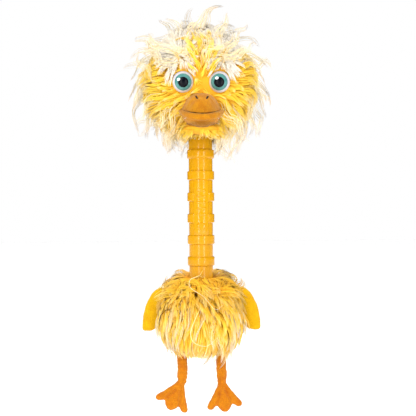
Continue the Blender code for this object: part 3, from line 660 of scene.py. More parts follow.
BEAK_ZONE_HALF_WIDTH, BEAK_ZONE_FRONT = 0.027, -0.052
BEAK_ZONE_LOW, BEAK_ZONE_NARROWS, BEAK_ZONE_HIGH = 0.0885, 0.106, 0.132
NECK_ZONE_RADIUS, NECK_ZONE_LOW, NECK_ZONE_HIGH = 0.0175, -0.074, 0.086
NECK_FRONT_HALF_WIDTH, NECK_FRONT_HIGH = 0.0165, 0.0785


def clear_of_face(lines):
    """False for a hair that would hang over an eye, the beak or the neck."""
    blocked = np.zeros(len(lines), dtype=bool)
    for base, outward in EYES:
        relative = lines - np.array(base)
        ahead = relative @ np.array(outward)
        across = np.linalg.norm(relative - ahead[..., None] * np.array(outward), axis=2)
        over = (ahead > -0.001) & (across < EYE_RADIUS * 1.04)
        blocked |= over.any(axis=1)
    x, y, z = lines[..., 0], lines[..., 1], lines[..., 2]
    beak = (y < BEAK_ZONE_FRONT) & (z > BEAK_ZONE_LOW) & (z < BEAK_ZONE_HIGH)
    beak &= np.abs(x) < BEAK_ZONE_HALF_WIDTH - 0.35 * np.clip(z - BEAK_ZONE_NARROWS, 0.0, 0.03)
    blocked |= beak.any(axis=1)
    neck = (np.hypot(x, y) < NECK_ZONE_RADIUS) & (z < NECK_ZONE_HIGH)
    neck |= (np.abs(x) < NECK_FRONT_HALF_WIDTH) & (y < 0.0) & (z < NECK_FRONT_HIGH)
    blocked |= (neck & (z > NECK_ZONE_LOW)).any(axis=1)
    return ~blocked


# ---------------------------------------------------------------- how the fur lies

def ease(low, high, value):
    """Smooth step from 0 at low to 1 at high."""
    t = np.clip((value - low) / (high - low), 0.0, 1.0)
    return t * t * (3.0 - 2.0 * t)


def along_skin(field, normals):
    return normalise(field - normals * (field * normals).sum(axis=1, keepdims=True))


def brow_mask(points):
    """1 where the pile is cream: over each eye and across the crown, but not the middle strip."""
    x, y, z = points[:, 0] / MM, points[:, 1] / MM, points[:, 2] / MM
    ax = np.abs(x)
    outer = 36.0 + 0.22 * np.clip(z - 156.0, 0.0, 40.0)
    brow = ease(8.0, 13.0, ax) * ease(4.0, -4.0, ax - outer) * ease(152.0, 156.0, z) * ease(4.0, -10.0, y)
    crown = ease(190.0, 197.0, z) * ease(38.0, 20.0, y)
    strip = ease(14.0, 9.0, ax) * ease(200.0, 193.0, z)
    return np.maximum(brow, crown) * (1.0 - strip)


def pick(rng, count, low, high):
    return rng.uniform(low, high, count)


def head_flow(points, normals):
    """Away from the beak on the face, and down at the sides and back."""
    unit = (points - HEAD_SKIN.centre) / HEAD_SKIN.radii
    face = ease(0.25, -0.5, unit[:, 1])[:, None]
    away = points - np.array((0.0, -0.045, 0.132))
    away[:, 1] *= 0.3
    field = normalise(away) * face * 1.3 + DOWN * (0.55 + 0.45 * (1.0 - face))
    crown = ease(0.55, 0.9, unit[:, 2])[:, None]
    outward = normalise(points * np.array((1.0, 1.0, 0.0)) + np.array((0.0, 0.0, 1e-6)))
    return along_skin(field * (1.0 - crown) + outward * crown, normals)


def eye_gap(points):
    """Distance to the nearest eye's middle line, which keeps the pile short there."""
    gaps = []
    for base, outward in EYES:
        relative = points - np.array(base)
        ahead = relative @ np.array(outward)
        gaps.append(np.linalg.norm(relative - ahead[:, None] * np.array(outward), axis=1))
    return np.minimum(*gaps)


def face_length(points):
    """0 to 1: short pile round the eyes and on the bridge of the beak."""
    gap = eye_gap(points)
    from_bridge = (points - np.array((0.0, -0.045, 0.133))) / np.array((0.014, 0.02, 0.016))
    bridge = np.linalg.norm(from_bridge, axis=1)
    front = ease(0.0, -0.025, points[:, 1])
    near = np.minimum(ease(0.009, 0.026, gap), ease(0.6, 1.7, bridge))
    return 1.0 - front * (1.0 - (0.25 + 0.75 * near))


def swirl(field, normals, points, amount, scale, seed):
    """Turns a combed direction one way and the other in broad drifts, so that locks lie together."""
    angle = (amount * ripple(points, scale, seed))[:, None]
    return field * np.cos(angle) + np.cross(normals, field) * np.sin(angle)


def style(points, rng, seed, comb, length, lift, droop, wave, turns, keep, tone=(0.1, 0.9)):
    """Each lock's numbers, drawn from ranges (lengths in mm); neighbouring locks bend in step."""
    count = len(points)
    phase = 0.45 * ripple(points, 55.0 * MM, seed) + pick(rng, count, -0.07, 0.07)
    shade = 0.5 + 0.35 * ripple(points, 30.0 * MM, seed + 1) + pick(rng, count, -0.25, 0.25)
    return {
        "comb": comb, "length": pick(rng, count, *length) * MM, "lift": pick(rng, count, *lift),
        "droop": pick(rng, count, *droop), "wave": pick(rng, count, *wave),
        "turns": pick(rng, count, *turns), "phase": phase,
        "tone": np.clip(tone[0] + (tone[1] - tone[0]) * shade, 0.0, 1.0), "keep": keep,
    }


def combed(field, points, normals, rng, amount):
    """The direction along the skin at each root, with a little disorder."""
    return along_skin(field + rng.normal(0.0, amount, points.shape), normals)


def yellow_head(points, normals, rng):
    field = swirl(head_flow(points, normals), normals, points, 0.6, 60.0 * MM, 51)
    comb = combed(field, points, normals, rng, 0.08)
    made = style(
        points, rng, 61, comb, (27, 37), (0.40, 0.60), (0.25, 0.55), (0.18, 0.36), (0.7, 1.1),
        brow_mask(points) < 0.5,
    )
    made["length"] *= face_length(points) * (1.0 - 0.35 * ease(0.160, 0.185, points[:, 2]))
    return made


def cream_head(points, normals, rng):
    """Two puffs over the eyes that fan out from their middles, and a low crown between them."""
    side = np.sign(points[:, :1])
    brow = np.concatenate((side * 0.027, np.full_like(side, -0.040), np.full_like(side, 0.177)), axis=1)
    crown = ease(0.192, 0.204, points[:, 2])[:, None]
    upright = normalise(points - np.array((0.0, 0.0, 0.12)))
    field = normalise(points - brow) * (1.0 - crown) + upright * crown
    field = swirl(along_skin(field, normals), normals, points, 0.3, 40.0 * MM, 53)
    comb = combed(field, points, normals, rng, 0.12)
    made = style(
        points, rng, 63, comb, (13, 19), (0.45, 0.75), (0.0, 0.15), (0.08, 0.2), (0.5, 0.9),
        brow_mask(points) >= 0.5, (0.4, 1.0),
    )
    aside = np.abs(np.abs(points[:, 0]) - 0.027)
    made["length"] *= 1.0 + 0.45 * ease(0.016, 0.006, aside) * ease(0.188, 0.200, points[:, 2])
    made["length"] *= 1.0 - 0.45 * ease(0.016, 0.006, np.abs(points[:, 0]))
    return made


def head_guard(points, normals, rng):
    """Long cream locks, each twisted to a point, that stand out past the pile."""
    front, high = ease(0.01, -0.03, points[:, 1]), ease(0.165, 0.195, points[:, 2])
    field = swirl(head_flow(points, normals), normals, points, 0.9, 50.0 * MM, 55)
    upright = normalise(points - np.array((0.0, 0.0, 0.10)))
    field = field * (1.0 - 0.7 * high[:, None]) + upright * high[:, None]
    comb = combed(field, points, normals, rng, 0.25)
    wanted = rng.uniform(0.0, 1.0, len(points)) < 1.0 - 0.35 * front - 0.45 * high
    made = style(
        points, rng, 65, comb, (44, 74), (0.40, 0.80), (0.2, 0.7), (0.45, 0.85), (1.1, 2.1),
        wanted & (face_length(points) > 0.75), (0.3, 1.0),
    )
    made["droop"] *= 1.0 - 0.95 * high
    made["lift"] += 0.25 * high
    made["length"] *= 1.0 - 0.2 * high
    made["wave"] *= 1.0 - 0.4 * high
    return made


def body_flow(points, normals):
    """Out from the neck and down, gathering in under the body."""
    unit = (points - BODY_SKIN.centre) / BODY_SKIN.radii
    out = normalise(points * np.array((1.0, 1.0, 0.0)) + np.array((0.0, -1e-6, 0.0)))
    top, low = ease(0.2, 0.9, unit[:, 2])[:, None], ease(-0.35, -0.85, unit[:, 2])[:, None]
    field = out * (0.2 + 0.8 * top - 0.8 * low) + DOWN * (1.0 - 0.55 * top)
    return along_skin(field, normals)


def yellow_body(points, normals, rng):
    field = swirl(body_flow(points, normals), normals, points, 0.45, 50.0 * MM, 57)
    comb = combed(field, points, normals, rng, 0.08)
    low, high = ease(-0.140, -0.165, points[:, 2]), ease(-0.130, -0.105, points[:, 2])
    keep = np.hypot(points[:, 0], points[:, 1]) > 0.013
    made = style(points, rng, 67, comb, (28, 38), (0.32, 0.48), (0.5, 0.9), (0.18, 0.38), (0.7, 1.2), keep)
    made["length"] *= 1.0 - 0.52 * low
    made["droop"] *= 1.0 + 0.8 * low
    made["lift"] += 0.22 * high
    return made


def body_guard(points, normals, rng):
    """Long cream locks over the shoulders and down the sides, with only a few on the breast."""
    field = swirl(body_flow(points, normals), normals, points, 0.55, 50.0 * MM, 59)
    comb = combed(field, points, normals, rng, 0.14)
    high, low = ease(-0.150, -0.105, points[:, 2]), ease(-0.135, -0.160, points[:, 2])
    breast = ease(-0.01, -0.03, points[:, 1]) * ease(0.032, 0.016, np.abs(points[:, 0])) * (1.0 - low)
    keep = np.hypot(points[:, 0], points[:, 1]) > 0.014
    keep &= rng.uniform(0.0, 1.0, len(points)) < 1.0 - 0.7 * breast
    made = style(
        points, rng, 69, comb, (36, 54), (0.26, 0.46), (0.6, 1.1), (0.25, 0.5), (0.8, 1.5), keep, (0.3, 1.0)
    )
    over_leg = low * ease(0.012, 0.018, np.abs(points[:, 0])) * ease(0.0, -0.02, points[:, 1])
    made["length"] *= (0.85 + 0.2 * high) * (1.0 - 0.5 * low)
    made["length"] *= 1.0 + over_leg * (0.7 + 0.4 * np.sign(points[:, 0]))
    return made


def ruff_pile(points, normals, rng):
    """The body's pile where it starts round the neck, lying out over the shoulders and fluffed up behind."""
    out = normalise(points * np.array((1.0, 1.0, 0.0)))
    back = ease(-0.002, 0.015, points[:, 1])
    comb = combed(swirl(out, normals, points, 0.5, 30.0 * MM, 75), points, normals, rng, 0.12)
    keep = (np.hypot(points[:, 0], points[:, 1]) > 0.0165) & (points[:, 2] > -0.100)
    made = style(points, rng, 71, comb, (22, 46), (0.30, 0.52), (0.9, 1.5), (0.18, 0.38), (0.8, 1.3), keep)
    made["lift"] += 0.4 * back
    made["length"] *= 1.0 - 0.3 * back
    made["droop"] *= 1.0 - 0.75 * back
    return made


def chin_pile(points, normals, rng):
    """Short pile under the bowl of the beak, combed down and to both sides over the neck's end."""
    away = (points - np.array((0.0, -0.048, 0.098))) * np.array((1.0, 0.3, 1.0))
    comb = combed(normalise(away) + DOWN * 0.5, points, normals, rng, 0.12)
    keep = (points[:, 2] < 0.0935) & (points[:, 1] < -0.024)
    return style(points, rng, 73, comb, (9, 14), (0.35, 0.6), (0.9, 1.4), (0.15, 0.3), (0.6, 1.0), keep)


STRAY_HAIRS = (
    (
        (1, -20, -74), (-3, -28, -79), (-14, -38, -83), (-13, -43, -92), (1, -50, -101), (14, -54, -115),
        (24, -50, -110),
    ),
    ((-2, -54, -112), (-9, -56, -126), (-14, -57, -141), (-10, -56, -152), (4, -56, -156), (17, -56, -146)),
    ((6, -56, -150), (3, -51, -165), (-4, -44, -176), (-12, -50, -162), (-11, -56, -147)),
)


def bend(a, b, c, d, t):
    """A place from b at t = 0 to c at t = 1, on a curve that a and d bend."""
    square = (2.0 * a - 5.0 * b + 4.0 * c - d) * t ** 2
    cube = (3.0 * b - a - 3.0 * c + d) * t ** 3
    return 0.5 * (2.0 * b + (c - a) * t + square + cube)


def rounded_line(points, steps=72):
    """A smooth open line through the points, with each stretch bent by its neighbours."""
    points = np.array(points, dtype=float)
    ends = np.vstack([2.0 * points[:1] - points[1:2], points, 2.0 * points[-1:] - points[-2:-1]])
    along = np.linspace(0.0, len(points) - 1.0, steps)
    first = np.minimum(along.astype(int), len(points) - 2)
    t = (along - first)[:, None]
    return bend(*(ends[first + i] for i in range(4)), t)


def build_stray_hairs():
    """The few long curling hairs that have slipped out of the pile in front."""
    curves = np.array([rounded_line(points) * MM for points in STRAY_HAIRS])
    tone = np.ones(len(curves))
    piece = strands("stray_hairs", BODY_SKIN, curves, 0.7 * MM * tone, tone, BLOND)
    attach(piece, "cream_fur", "root")


HEAD_NODES = ("head_fur", "brow_tuft_left", "brow_tuft_right", "crown_tuft")


def build_fur():
    cloths = (
        ("head", HEAD_SKIN, "root", 0.9, (96, 64), HEAD_NODES),
        ("body", BODY_SKIN, "root", 0.9, (96, 64), ("body_fur",)),
        ("ruff", RUFF_SKIN, "root", 0.5, (64, 24), ()),
        ("chin", CHIN_SKIN, "jaw", 0.7, (48, 24), ("chin_fur",)),
    )
    for name, skin, body, fill, fineness, nodes in cloths:
        cloth = ellipsoid(f"{name}_pile_cloth", skin.centre, skin.radii, SKIN, *fineness)
        attach(cloth, "yellow_fur", body, *nodes, fill=fill)
    # name, skin, hairs, locks, style, material, seed, steps, clump, thickness in mm, hug
    piles = (
        ("head_pile", HEAD_SKIN, 8000, 760, yellow_head, YELLOW, 11, 6, 0.78, (0.9, 1.5), 0.7),
        ("brow_pile", HEAD_SKIN, 34000, 3200, cream_head, CREAM, 12, 5, 0.32, (0.45, 0.8), 0.5),
        ("head_guard", HEAD_SKIN, 2400, 230, head_guard, BLOND, 13, 13, 0.90, (0.4, 0.75), 0.2),
        ("body_pile", BODY_SKIN, 6100, 620, yellow_body, GOLD, 14, 6, 0.76, (0.8, 1.3), 0.9),
        ("body_guard", BODY_SKIN, 2100, 240, body_guard, HONEY, 15, 11, 0.88, (0.4, 0.75), 0.75),
        ("ruff_pile", RUFF_SKIN, 3200, 330, ruff_pile, GOLD, 17, 7, 0.75, (0.8, 1.2), 0.5),
        ("chin_pile", CHIN_SKIN, 3000, 260, chin_pile, YELLOW, 16, 5, 0.70, (0.7, 1.1), 0.5),
    )
    for name, *numbers in piles:
        piece = grow(name, *numbers)
        slot = "yellow_fur" if name.endswith("_pile") and name != "brow_pile" else "cream_fur"
        attach(piece, slot, "jaw" if name == "chin_pile" else "root")


# ---------------------------------------------------------------- neck

BORE = 12.0 * MM
TUBE = 14.2 * MM
RIB = 16.1 * MM
RIB_HALF = 5.5 * MM
RIB_CENTRES = [(12.8 + 25.6 * i) * MM for i in (2, 1, 0, -1, -2, -3)]
PANEL = 15.0 * MM
PANEL_HALF = np.array((8.5, 32.0)) * MM
BARS = [(20.0 - 7.0 * i) * MM for i in range(5)]
BAR_HALF = np.array((5.0, 1.4)) * MM
DOT_CENTRE, DOT_RADIUS = -22.0 * MM, 4.6 * MM
SLOT_HALF, SLOT_LOW, SLOT_HIGH = 6.6 * MM, -24.6 * MM, 32.6 * MM


def rounded(value, half, edge):
    """1 inside a band, falling to 0 over a soft edge just inside its limit."""
    return ease(half, half - edge, np.abs(value))


def neck_rows():
    """Heights down the neck: close together at the ribs' rounded edges and on the panel."""
    low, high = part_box("neck_front_shell")[0][2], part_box("neck_front_shell")[1][2]
    rows = list(np.arange(low, high, 4.0 * MM)) + [high]
    near_edge = np.array((-0.3, 0.0, 0.02, 0.12, 0.3, 0.6, 0.9)) * MM
    for centre in RIB_CENTRES:
        for side in (-1, 1):
            rows += list(centre + side * (RIB_HALF - near_edge))
    rows += list(np.arange(-27.0, 24.0, 0.7) * MM)
    for end, thick in ((low, 1), (high, -1)):
        rows += [end + thick * step * MM for step in (0.15, 0.4, 2.1, 2.35, 2.5, 2.52, 2.7)]
    rows = np.unique(np.round(np.array(rows), 7))
    return rows[np.concatenate(((True,), np.diff(rows) > 0.008 * MM))]


def neck_radius(phi, z):
    """Outer radius: a tube with rounded ribs, and in front a panel with grip bars and a dot."""
    radius = np.full(np.broadcast(phi, z).shape, TUBE)
    for centre in RIB_CENTRES:
        radius += (RIB - TUBE) * np.sqrt(rounded(z - centre, RIB_HALF, 0.9 * MM))
    x = TUBE * np.sin(phi)
    ahead = np.cos(phi) > 0.0
    panel = rounded(x, PANEL_HALF[0], 0.5 * MM) * rounded(z, PANEL_HALF[1], 0.5 * MM) * ahead
    radius = radius * (1.0 - panel) + PANEL * panel
    for height in BARS:
        bar = rounded(x, BAR_HALF[0], 0.6 * MM) * rounded(z - height, BAR_HALF[1], 0.7 * MM)
        radius += 0.75 * MM * np.sqrt(bar) * ahead
    radius += 0.75 * MM * np.sqrt(rounded(np.hypot(x, z - DOT_CENTRE), DOT_RADIUS, 0.7 * MM)) * ahead
    top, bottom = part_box("neck_front_shell")[1][2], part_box("neck_front_shell")[0][2]
    flange = rounded(z - top, 2.5 * MM, 0.3 * MM)
    radius = np.maximum(radius, TUBE + (17.2 * MM - TUBE) * flange)
    flange = rounded(z - bottom, 2.5 * MM, 0.3 * MM)
    return np.maximum(radius, TUBE + (20.0 * MM - TUBE) * flange)


def neck_half(name, facing):
    """One moulded half shell, facing -1 for the front and +1 for the back."""
    fine = np.arange(-31, 32) * 1.2 if facing < 0 else np.array((-26.0, 26.0))
    phi = np.radians(np.unique(np.concatenate((np.linspace(-89.4, 89.4, 41), fine))))
    z = neck_rows()
    outer = neck_radius(phi[None, :] + (0.0 if facing < 0 else math.pi), z[:, None])
    edge = ease(math.radians(89.4), math.radians(88.3), np.abs(phi))[None, :]
    outer = outer - 0.25 * MM * (1.0 - edge)
    rows, columns = outer.shape
    grids = []
    for radius in (outer, np.full_like(outer, BORE)):
        x = radius * np.sin(phi)[None, :] * -facing
        y = facing * radius * np.cos(phi)[None, :]
        grids.append(np.stack((x, y, np.broadcast_to(z[:, None], x.shape)), axis=-1).reshape(-1, 3))
    skip = rows * columns
    faces = []
    for i in range(rows - 1):
        for j in range(columns - 1):
            a, d = i * columns + j, (i + 1) * columns + j
            b, c = a + 1, d + 1
            faces += [(a, b, c, d), (a + skip, d + skip, c + skip, b + skip)]
    for i in range(rows - 1):
        for j in (0, columns - 1):
            a, d = i * columns + j, (i + 1) * columns + j
            faces.append((a, d, d + skip, a + skip))
    for j in range(columns - 1):
        for i in (0, rows - 1):
            a, b = i * columns + j, i * columns + j + 1
            faces.append((a, b, b + skip, a + skip))
    shell = add_mesh(name, np.concatenate(grids), faces, NECK)
    weld(shell)
    return shell


def cylinder(radius, start, end, segments=40):
    """A closed round bar along Y, as a cutter."""
    work = bmesh.new()
    bmesh.ops.create_cone(
        work, cap_ends=True, segments=segments, radius1=radius, radius2=radius, depth=abs(end[1] - start[1])
    )
    bmesh.ops.rotate(work, matrix=Matrix.Rotation(math.pi / 2, 3, "X"), verts=work.verts)
    bmesh.ops.translate(work, vec=(Vector(start) + Vector(end)) / 2.0, verts=work.verts)
    return from_work("cutter", work, NECK)


def carve(obj, *cutters):
    for cutter in cutters:
        step = obj.modifiers.new("cut", "BOOLEAN")
        step.operation = "DIFFERENCE"
        step.object = cutter
    apply_modifiers(obj)
    for cutter in cutters:
        bpy.data.objects.remove(cutter, do_unlink=True)
    obj.data.set_sharp_from_angle(angle=math.radians(50.0))
    return obj


def build_neck():
    front = neck_half("neck_front", -1.0)
    back = neck_half("neck_back", 1.0)
    work = bmesh.new()
    bmesh.ops.create_cube(work, size=1.0)
    height = SLOT_HIGH - SLOT_LOW
    bmesh.ops.transform(work, matrix=Matrix.Diagonal((2.0 * SLOT_HALF, 0.02, height, 1.0)), verts=work.verts)
    upright = [edge for edge in work.edges if abs(edge.verts[0].co.y - edge.verts[1].co.y) > 0.01]
    bmesh.ops.bevel(work, geom=upright, offset=1.5 * MM, segments=5, affect="EDGES", profile=0.5)
    bmesh.ops.translate(work, vec=(0.0, 0.018, (SLOT_HIGH + SLOT_LOW) / 2.0), verts=work.verts)
    cutters = [from_work("cutter", work, NECK)]
    for count in range(1, 5):
        place = middle(f"neck_screw_{count}")
        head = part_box(f"neck_screw_{count}")[1][1] - 1.8 * MM
        cutters.append(cylinder(2.7 * MM, (place.x, head, place.z), (place.x, head + 0.02, place.z)))
    carve(back, *cutters)
    for shell, node in ((front, "neck_front_shell"), (back, "neck_back_shell")):
        attach(shell, "neck_plastic", "root", node)


def build_trigger():
    lever = copy_node("trigger", "trigger_lever", NECK)
    remesh(lever, 0.55 * MM, 5, 0.5)
    attach(lever, "neck_plastic", "trigger", "trigger")


def copy_node(node, name, material):
    mesh = bpy.data.objects[node].data.copy()
    mesh.name = name
    mesh.materials.clear()
    return link(name, mesh, material)


# ---------------------------------------------------------------- eyes

EYE_DEPTH = 12.9 * MM


def dome_height(radius):
    return EYE_DEPTH * (1.0 - (radius / (EYE_RADIUS * 1.002)) ** 2.3) ** 0.62


def dome_band(inner, outer, lift=0.0, steps=16):
    """Profile of one band of the eye's front, from its outer edge to its inner edge."""
    radii = np.linspace(outer, inner, steps)
    return [(float(r), float(dome_height(r)) + lift) for r in radii]


def build_eyes():
    for (label, side), (base, outward) in zip(SIDES, EYES):
        turn = outward.to_track_quat("Z", "Y").to_matrix().to_4x4()
        place = Matrix.Translation(base) @ turn
        iris_edge, pupil_edge = 9.6 * MM, 5.9 * MM
        white = [(0.0, -5.0 * MM), (EYE_RADIUS - 0.8 * MM, -5.0 * MM), (EYE_RADIUS - 0.2 * MM, -4.0 * MM)]
        white += [(EYE_RADIUS, -2.0 * MM)] + dome_band(iris_edge - 0.6 * MM, EYE_RADIUS * 0.999, 0.0, 30)
        white += [(0.0, dome_height(iris_edge) - 1.0 * MM)]
        iris = [(0.0, dome_height(iris_edge) - 0.9 * MM)]
        iris += [(iris_edge - 0.1 * MM, dome_height(iris_edge) - 0.2 * MM)]
        iris += dome_band(pupil_edge - 0.6 * MM, iris_edge, 0.12 * MM)
        iris += [(0.0, dome_height(pupil_edge) - 0.5 * MM)]
        pupil = [(0.0, dome_height(pupil_edge) - 0.6 * MM)]
        pupil += dome_band(0.0, pupil_edge, 0.22 * MM)
        pieces = (
            ("eyeball", white, SCLERA, f"eye_{label}", "eye_white"),
            ("iris_disc", iris, IRIS, f"iris_{label}", "iris"),
            ("pupil_dome", pupil, PUPIL, f"pupil_{label}", "pupil"),
        )
        for name, profile, material, node, slot in pieces:
            piece = lathe(f"{name}_{label}", profile, material, place)
            attach(piece, slot, "root", node)
        across = Vector((0.0, 0.0, 1.0)).cross(-outward).normalized() * -1.0
        up = outward.cross(across).normalized()
        along, above = GLINT_PLACE[label]
        spot = base + (across * along + up * above) * MM
        spot = spot + outward * (dome_height(math.hypot(along, above) * MM) + 0.12 * MM)
        glint = ellipsoid(f"glint_{label}", (0, 0, 0), (2.1 * MM, 1.8 * MM, 0.45 * MM), GLINT, 24, 12)
        tilt = (spot - base - outward * 3.0 * MM).to_track_quat("Z", "Y").to_matrix().to_4x4()
        glint.data.transform(Matrix.Translation(spot) @ tilt)
        attach(glint, "eye_white", "root")


# ---------------------------------------------------------------- parts that keep their CAD shape

def finish_nodes():
    finishes = {
        INNER: ("skull_front", "skull_back", "jaw_frame", "rod_guide_lower", "rod_guide_upper"),
        STEEL: ("trigger_pin", "jaw_pin", "pull_rod", "return_spring", "eye_washer_left", "eye_washer_right")
        + tuple(f"neck_screw_{i}" for i in range(1, 5)) + ("skull_screw_1", "skull_screw_2"),
        NYLON: ("head_tie", "body_tie"),
        FIBRE: ("body_stuffing",),
        NECK: ("neck_end_cap",),
    }
    for material, nodes in finishes.items():
        for node in nodes:
            slots = bpy.data.objects[node].material_slots
            for place in slots:
                place.material = material


# ---------------------------------------------------------------- beak

SEAM = 103.6 * MM
MOUTH_CORNER = 7.0 * MM
BEAK_CENTRE_Y = -40.0 * MM
BEAK_HALF_WIDTH = 23.2 * MM
BEAK_REACH = 38.6 * MM
BEAK_RISE = 27.6 * MM
# Depth, half width and reach in mm of the rings of the bowl under the lip.
BOWL_RINGS = (
    (0.6, 23.2, 33.5), (3.0, 22.6, 32.5), (6.0, 20.4, 30.5), (9.0, 15.6, 27.0), (11.2, 9.6, 21.5),
)


def seam_height(x):
    """The closed mouth's line: lowest in the middle, with its corners turned up."""
    return SEAM + MOUTH_CORNER * np.clip(np.abs(x) / BEAK_HALF_WIDTH, 0.0, 1.2) ** 2.2


def grid_faces(rows, columns, wrap=False):
    faces = []
    for i in range(rows - 1):
        for j in range(columns if wrap else columns - 1):
            k = (j + 1) % columns
            faces.append((i * columns + j, i * columns + k, (i + 1) * columns + k, (i + 1) * columns + j))
    return faces


def build_upper_beak():
    """A velour dome: narrow on top, wide at the mouth, with a lining under it."""
    across, along = np.linspace(-1.0, 1.0, 61), np.linspace(0.0, 1.0, 44)
    angle = across * math.pi / 2.0
    reach = np.sin(along * math.pi / 2.0)
    width = np.cos(along * math.pi / 2.0) ** 0.92
    side = np.sin(angle)
    up = (1.0 - np.abs(side) ** 2.8) ** 0.95
    x = BEAK_HALF_WIDTH * side[None, :] * width[:, None]
    y = BEAK_CENTRE_Y - BEAK_REACH * reach[:, None] * np.ones_like(x)
    rise = BEAK_RISE * (0.92 + 0.08 * np.sin(along * math.pi))[:, None]
    z = seam_height(x) + rise * up[None, :] * width[:, None] ** 0.9
    top = np.stack((x, y, z), axis=-1)
    lining = top.copy()
    depth = 1.0 - np.abs(side)[None, :] ** 3
    lining[..., 2] = seam_height(x) + 2.5 * MM * depth * width[:, None]
    rows, columns = x.shape
    outer, inner = top.reshape(-1, 3), lining.reshape(-1, 3)
    faces = grid_faces(rows, columns)
    faces += [tuple(index + rows * columns for index in face[::-1]) for face in grid_faces(rows, columns)]
    for j in range(columns - 1):
        a, b = j, j + 1
        faces.append((a, b, b + rows * columns, a + rows * columns))
    beak = add_mesh("beak_upper", np.concatenate((outer, inner)), faces, BEAK)
    weld(beak, 0.00005)
    remesh(beak, 0.6 * MM, 6, 0.5)
    set_coordinates(beak, napped(beak, (0.22, 9.0, 3)))
    attach(beak, "beak_plush", "root", "upper_beak", fill=0.8)
    return beak


def tube(name, path, radii, material, sides=20):
    """A closed tube along a path with a radius at each point."""
    path = np.asarray(path)
    tangent = normalise(np.gradient(path, axis=0))
    side = normalise(np.cross(tangent, (0.0, 0.0, 1.0)))
    up = np.cross(tangent, side)
    turn = np.arange(sides) * math.tau / sides
    ring = side[:, None] * np.cos(turn)[None, :, None] + up[:, None] * np.sin(turn)[None, :, None]
    points = path[:, None] + ring * np.asarray(radii)[:, None, None]
    rows = len(path)
    faces = grid_faces(rows, sides, wrap=True)
    faces += [tuple(range(sides))[::-1], tuple((rows - 1) * sides + k for k in range(sides))]
    return add_mesh(name, points.reshape(-1, 3), faces, material)


def build_lower_beak():
    """The lower lip is a plump roll round the mouth, over a shallow bowl."""
    turn = np.linspace(-math.pi * 0.5, math.pi * 0.5, 60)
    x = 24.6 * MM * np.sin(turn)
    y = -42.0 * MM - 35.0 * MM * np.cos(turn)
    line = seam_height(x)
    radius = 3.9 * MM * (1.0 - 0.62 * np.abs(np.sin(turn)) ** 5)
    roll = tube("lip_roll", np.stack((x, y, line - 0.25 * MM - radius), axis=1), radius, BEAK)
    rings = []
    arc = np.linspace(-math.pi * 0.5, math.pi * 0.5, 41)
    for depth, width, reach in BOWL_RINGS:
        sx, sy = width * MM * np.sin(arc), -42.0 * MM - reach * MM * np.cos(arc)
        rings.append(np.stack((sx, sy, seam_height(sx) - 2.6 * MM - depth * MM), axis=1))
    lid = rings[0].copy()
    lid[:, 2] += 0.8 * MM
    rings = np.array([lid] + rings)
    rows, columns = rings.shape[:2]
    faces = grid_faces(rows, columns)
    faces += [tuple(range(columns)), tuple((rows - 1) * columns + j for j in range(columns))[::-1]]
    ends = [i * columns for i in range(rows)]
    faces += [tuple(ends + [i + columns - 1 for i in ends][::-1])]
    bowl = add_mesh("lip_bowl", rings.reshape(-1, 3), faces, BEAK)
    weld(bowl)
    lip = merge("beak_lower", roll, bowl)
    remesh(lip, 0.65 * MM, 4, 0.5)
    points = napped(lip, (0.20, 6.0, 5), (0.14, 2.6, 6))
    points[:, 2] = np.minimum(points[:, 2], seam_height(points[:, 0]) - 0.15 * MM)
    set_coordinates(lip, points)
    attach(lip, "beak_plush", "jaw", "lower_beak", fill=0.8)


def build_nostrils(beak):
    """Embroidered nostrils: a few satin stitches each, leaning towards the mouth."""
    tree = beak_tree(beak)
    for label, side in SIDES:
        centre = middle(f"nostril_{label}")
        lean = Vector((-side * 0.9, -2.2, 0.0)).normalized()
        threads = []
        for offset in (-0.42, 0.0, 0.42):
            start = Vector((centre.x, centre.y - 5.2 * MM, 0.0))
            start += Vector((lean.y, -lean.x, 0.0)) * offset * MM
            points = []
            for t in np.linspace(-1.0, 1.0, 9):
                spot = start + lean * t * (3.1 - abs(offset)) * MM
                hit, normal = tree.ray_cast(Vector((spot.x, spot.y, 0.2)), Vector((0, 0, -1)))[:2]
                points.append(hit + normal * (0.42 * MM * math.sqrt(max(0.0, 1.0 - t * t)) - 0.1 * MM))
            threads.append(tube(f"stitch_{label}", points, np.full(9, 0.34 * MM), THREAD, 8))
        nostril = merge(f"nostril_thread_{label}", *threads)
        nostril.data.shade_smooth()
        attach(nostril, "black_thread", "root", f"nostril_{label}")


def beak_tree(obj):
    return BVHTree.FromPolygons(
        [v.co.copy() for v in obj.data.vertices], [tuple(p.vertices) for p in obj.data.polygons]
    )


# ---------------------------------------------------------------- feet and wings

def spline(points, spacing=0.7 * MM):
    """Closed smooth curve through the points."""
    points = np.array(points)
    before, after, further = np.roll(points, 1, 0), np.roll(points, -1, 0), np.roll(points, -2, 0)
    curve = []
    for a, b, c, d in zip(before, points, after, further):
        steps = max(2, int(np.linalg.norm(c - b) / spacing))
        curve += [bend(a, b, c, d, t) for t in np.arange(steps) / steps]
    return np.array(curve)


def segment_gap(points, start, end):
    """Distance from each point to a line between two points."""
    way = end - start
    t = np.clip(((points - start) @ way) / (way @ way), 0.0, 1.0)
    return np.linalg.norm(points - start - t[:, None] * way, axis=1)


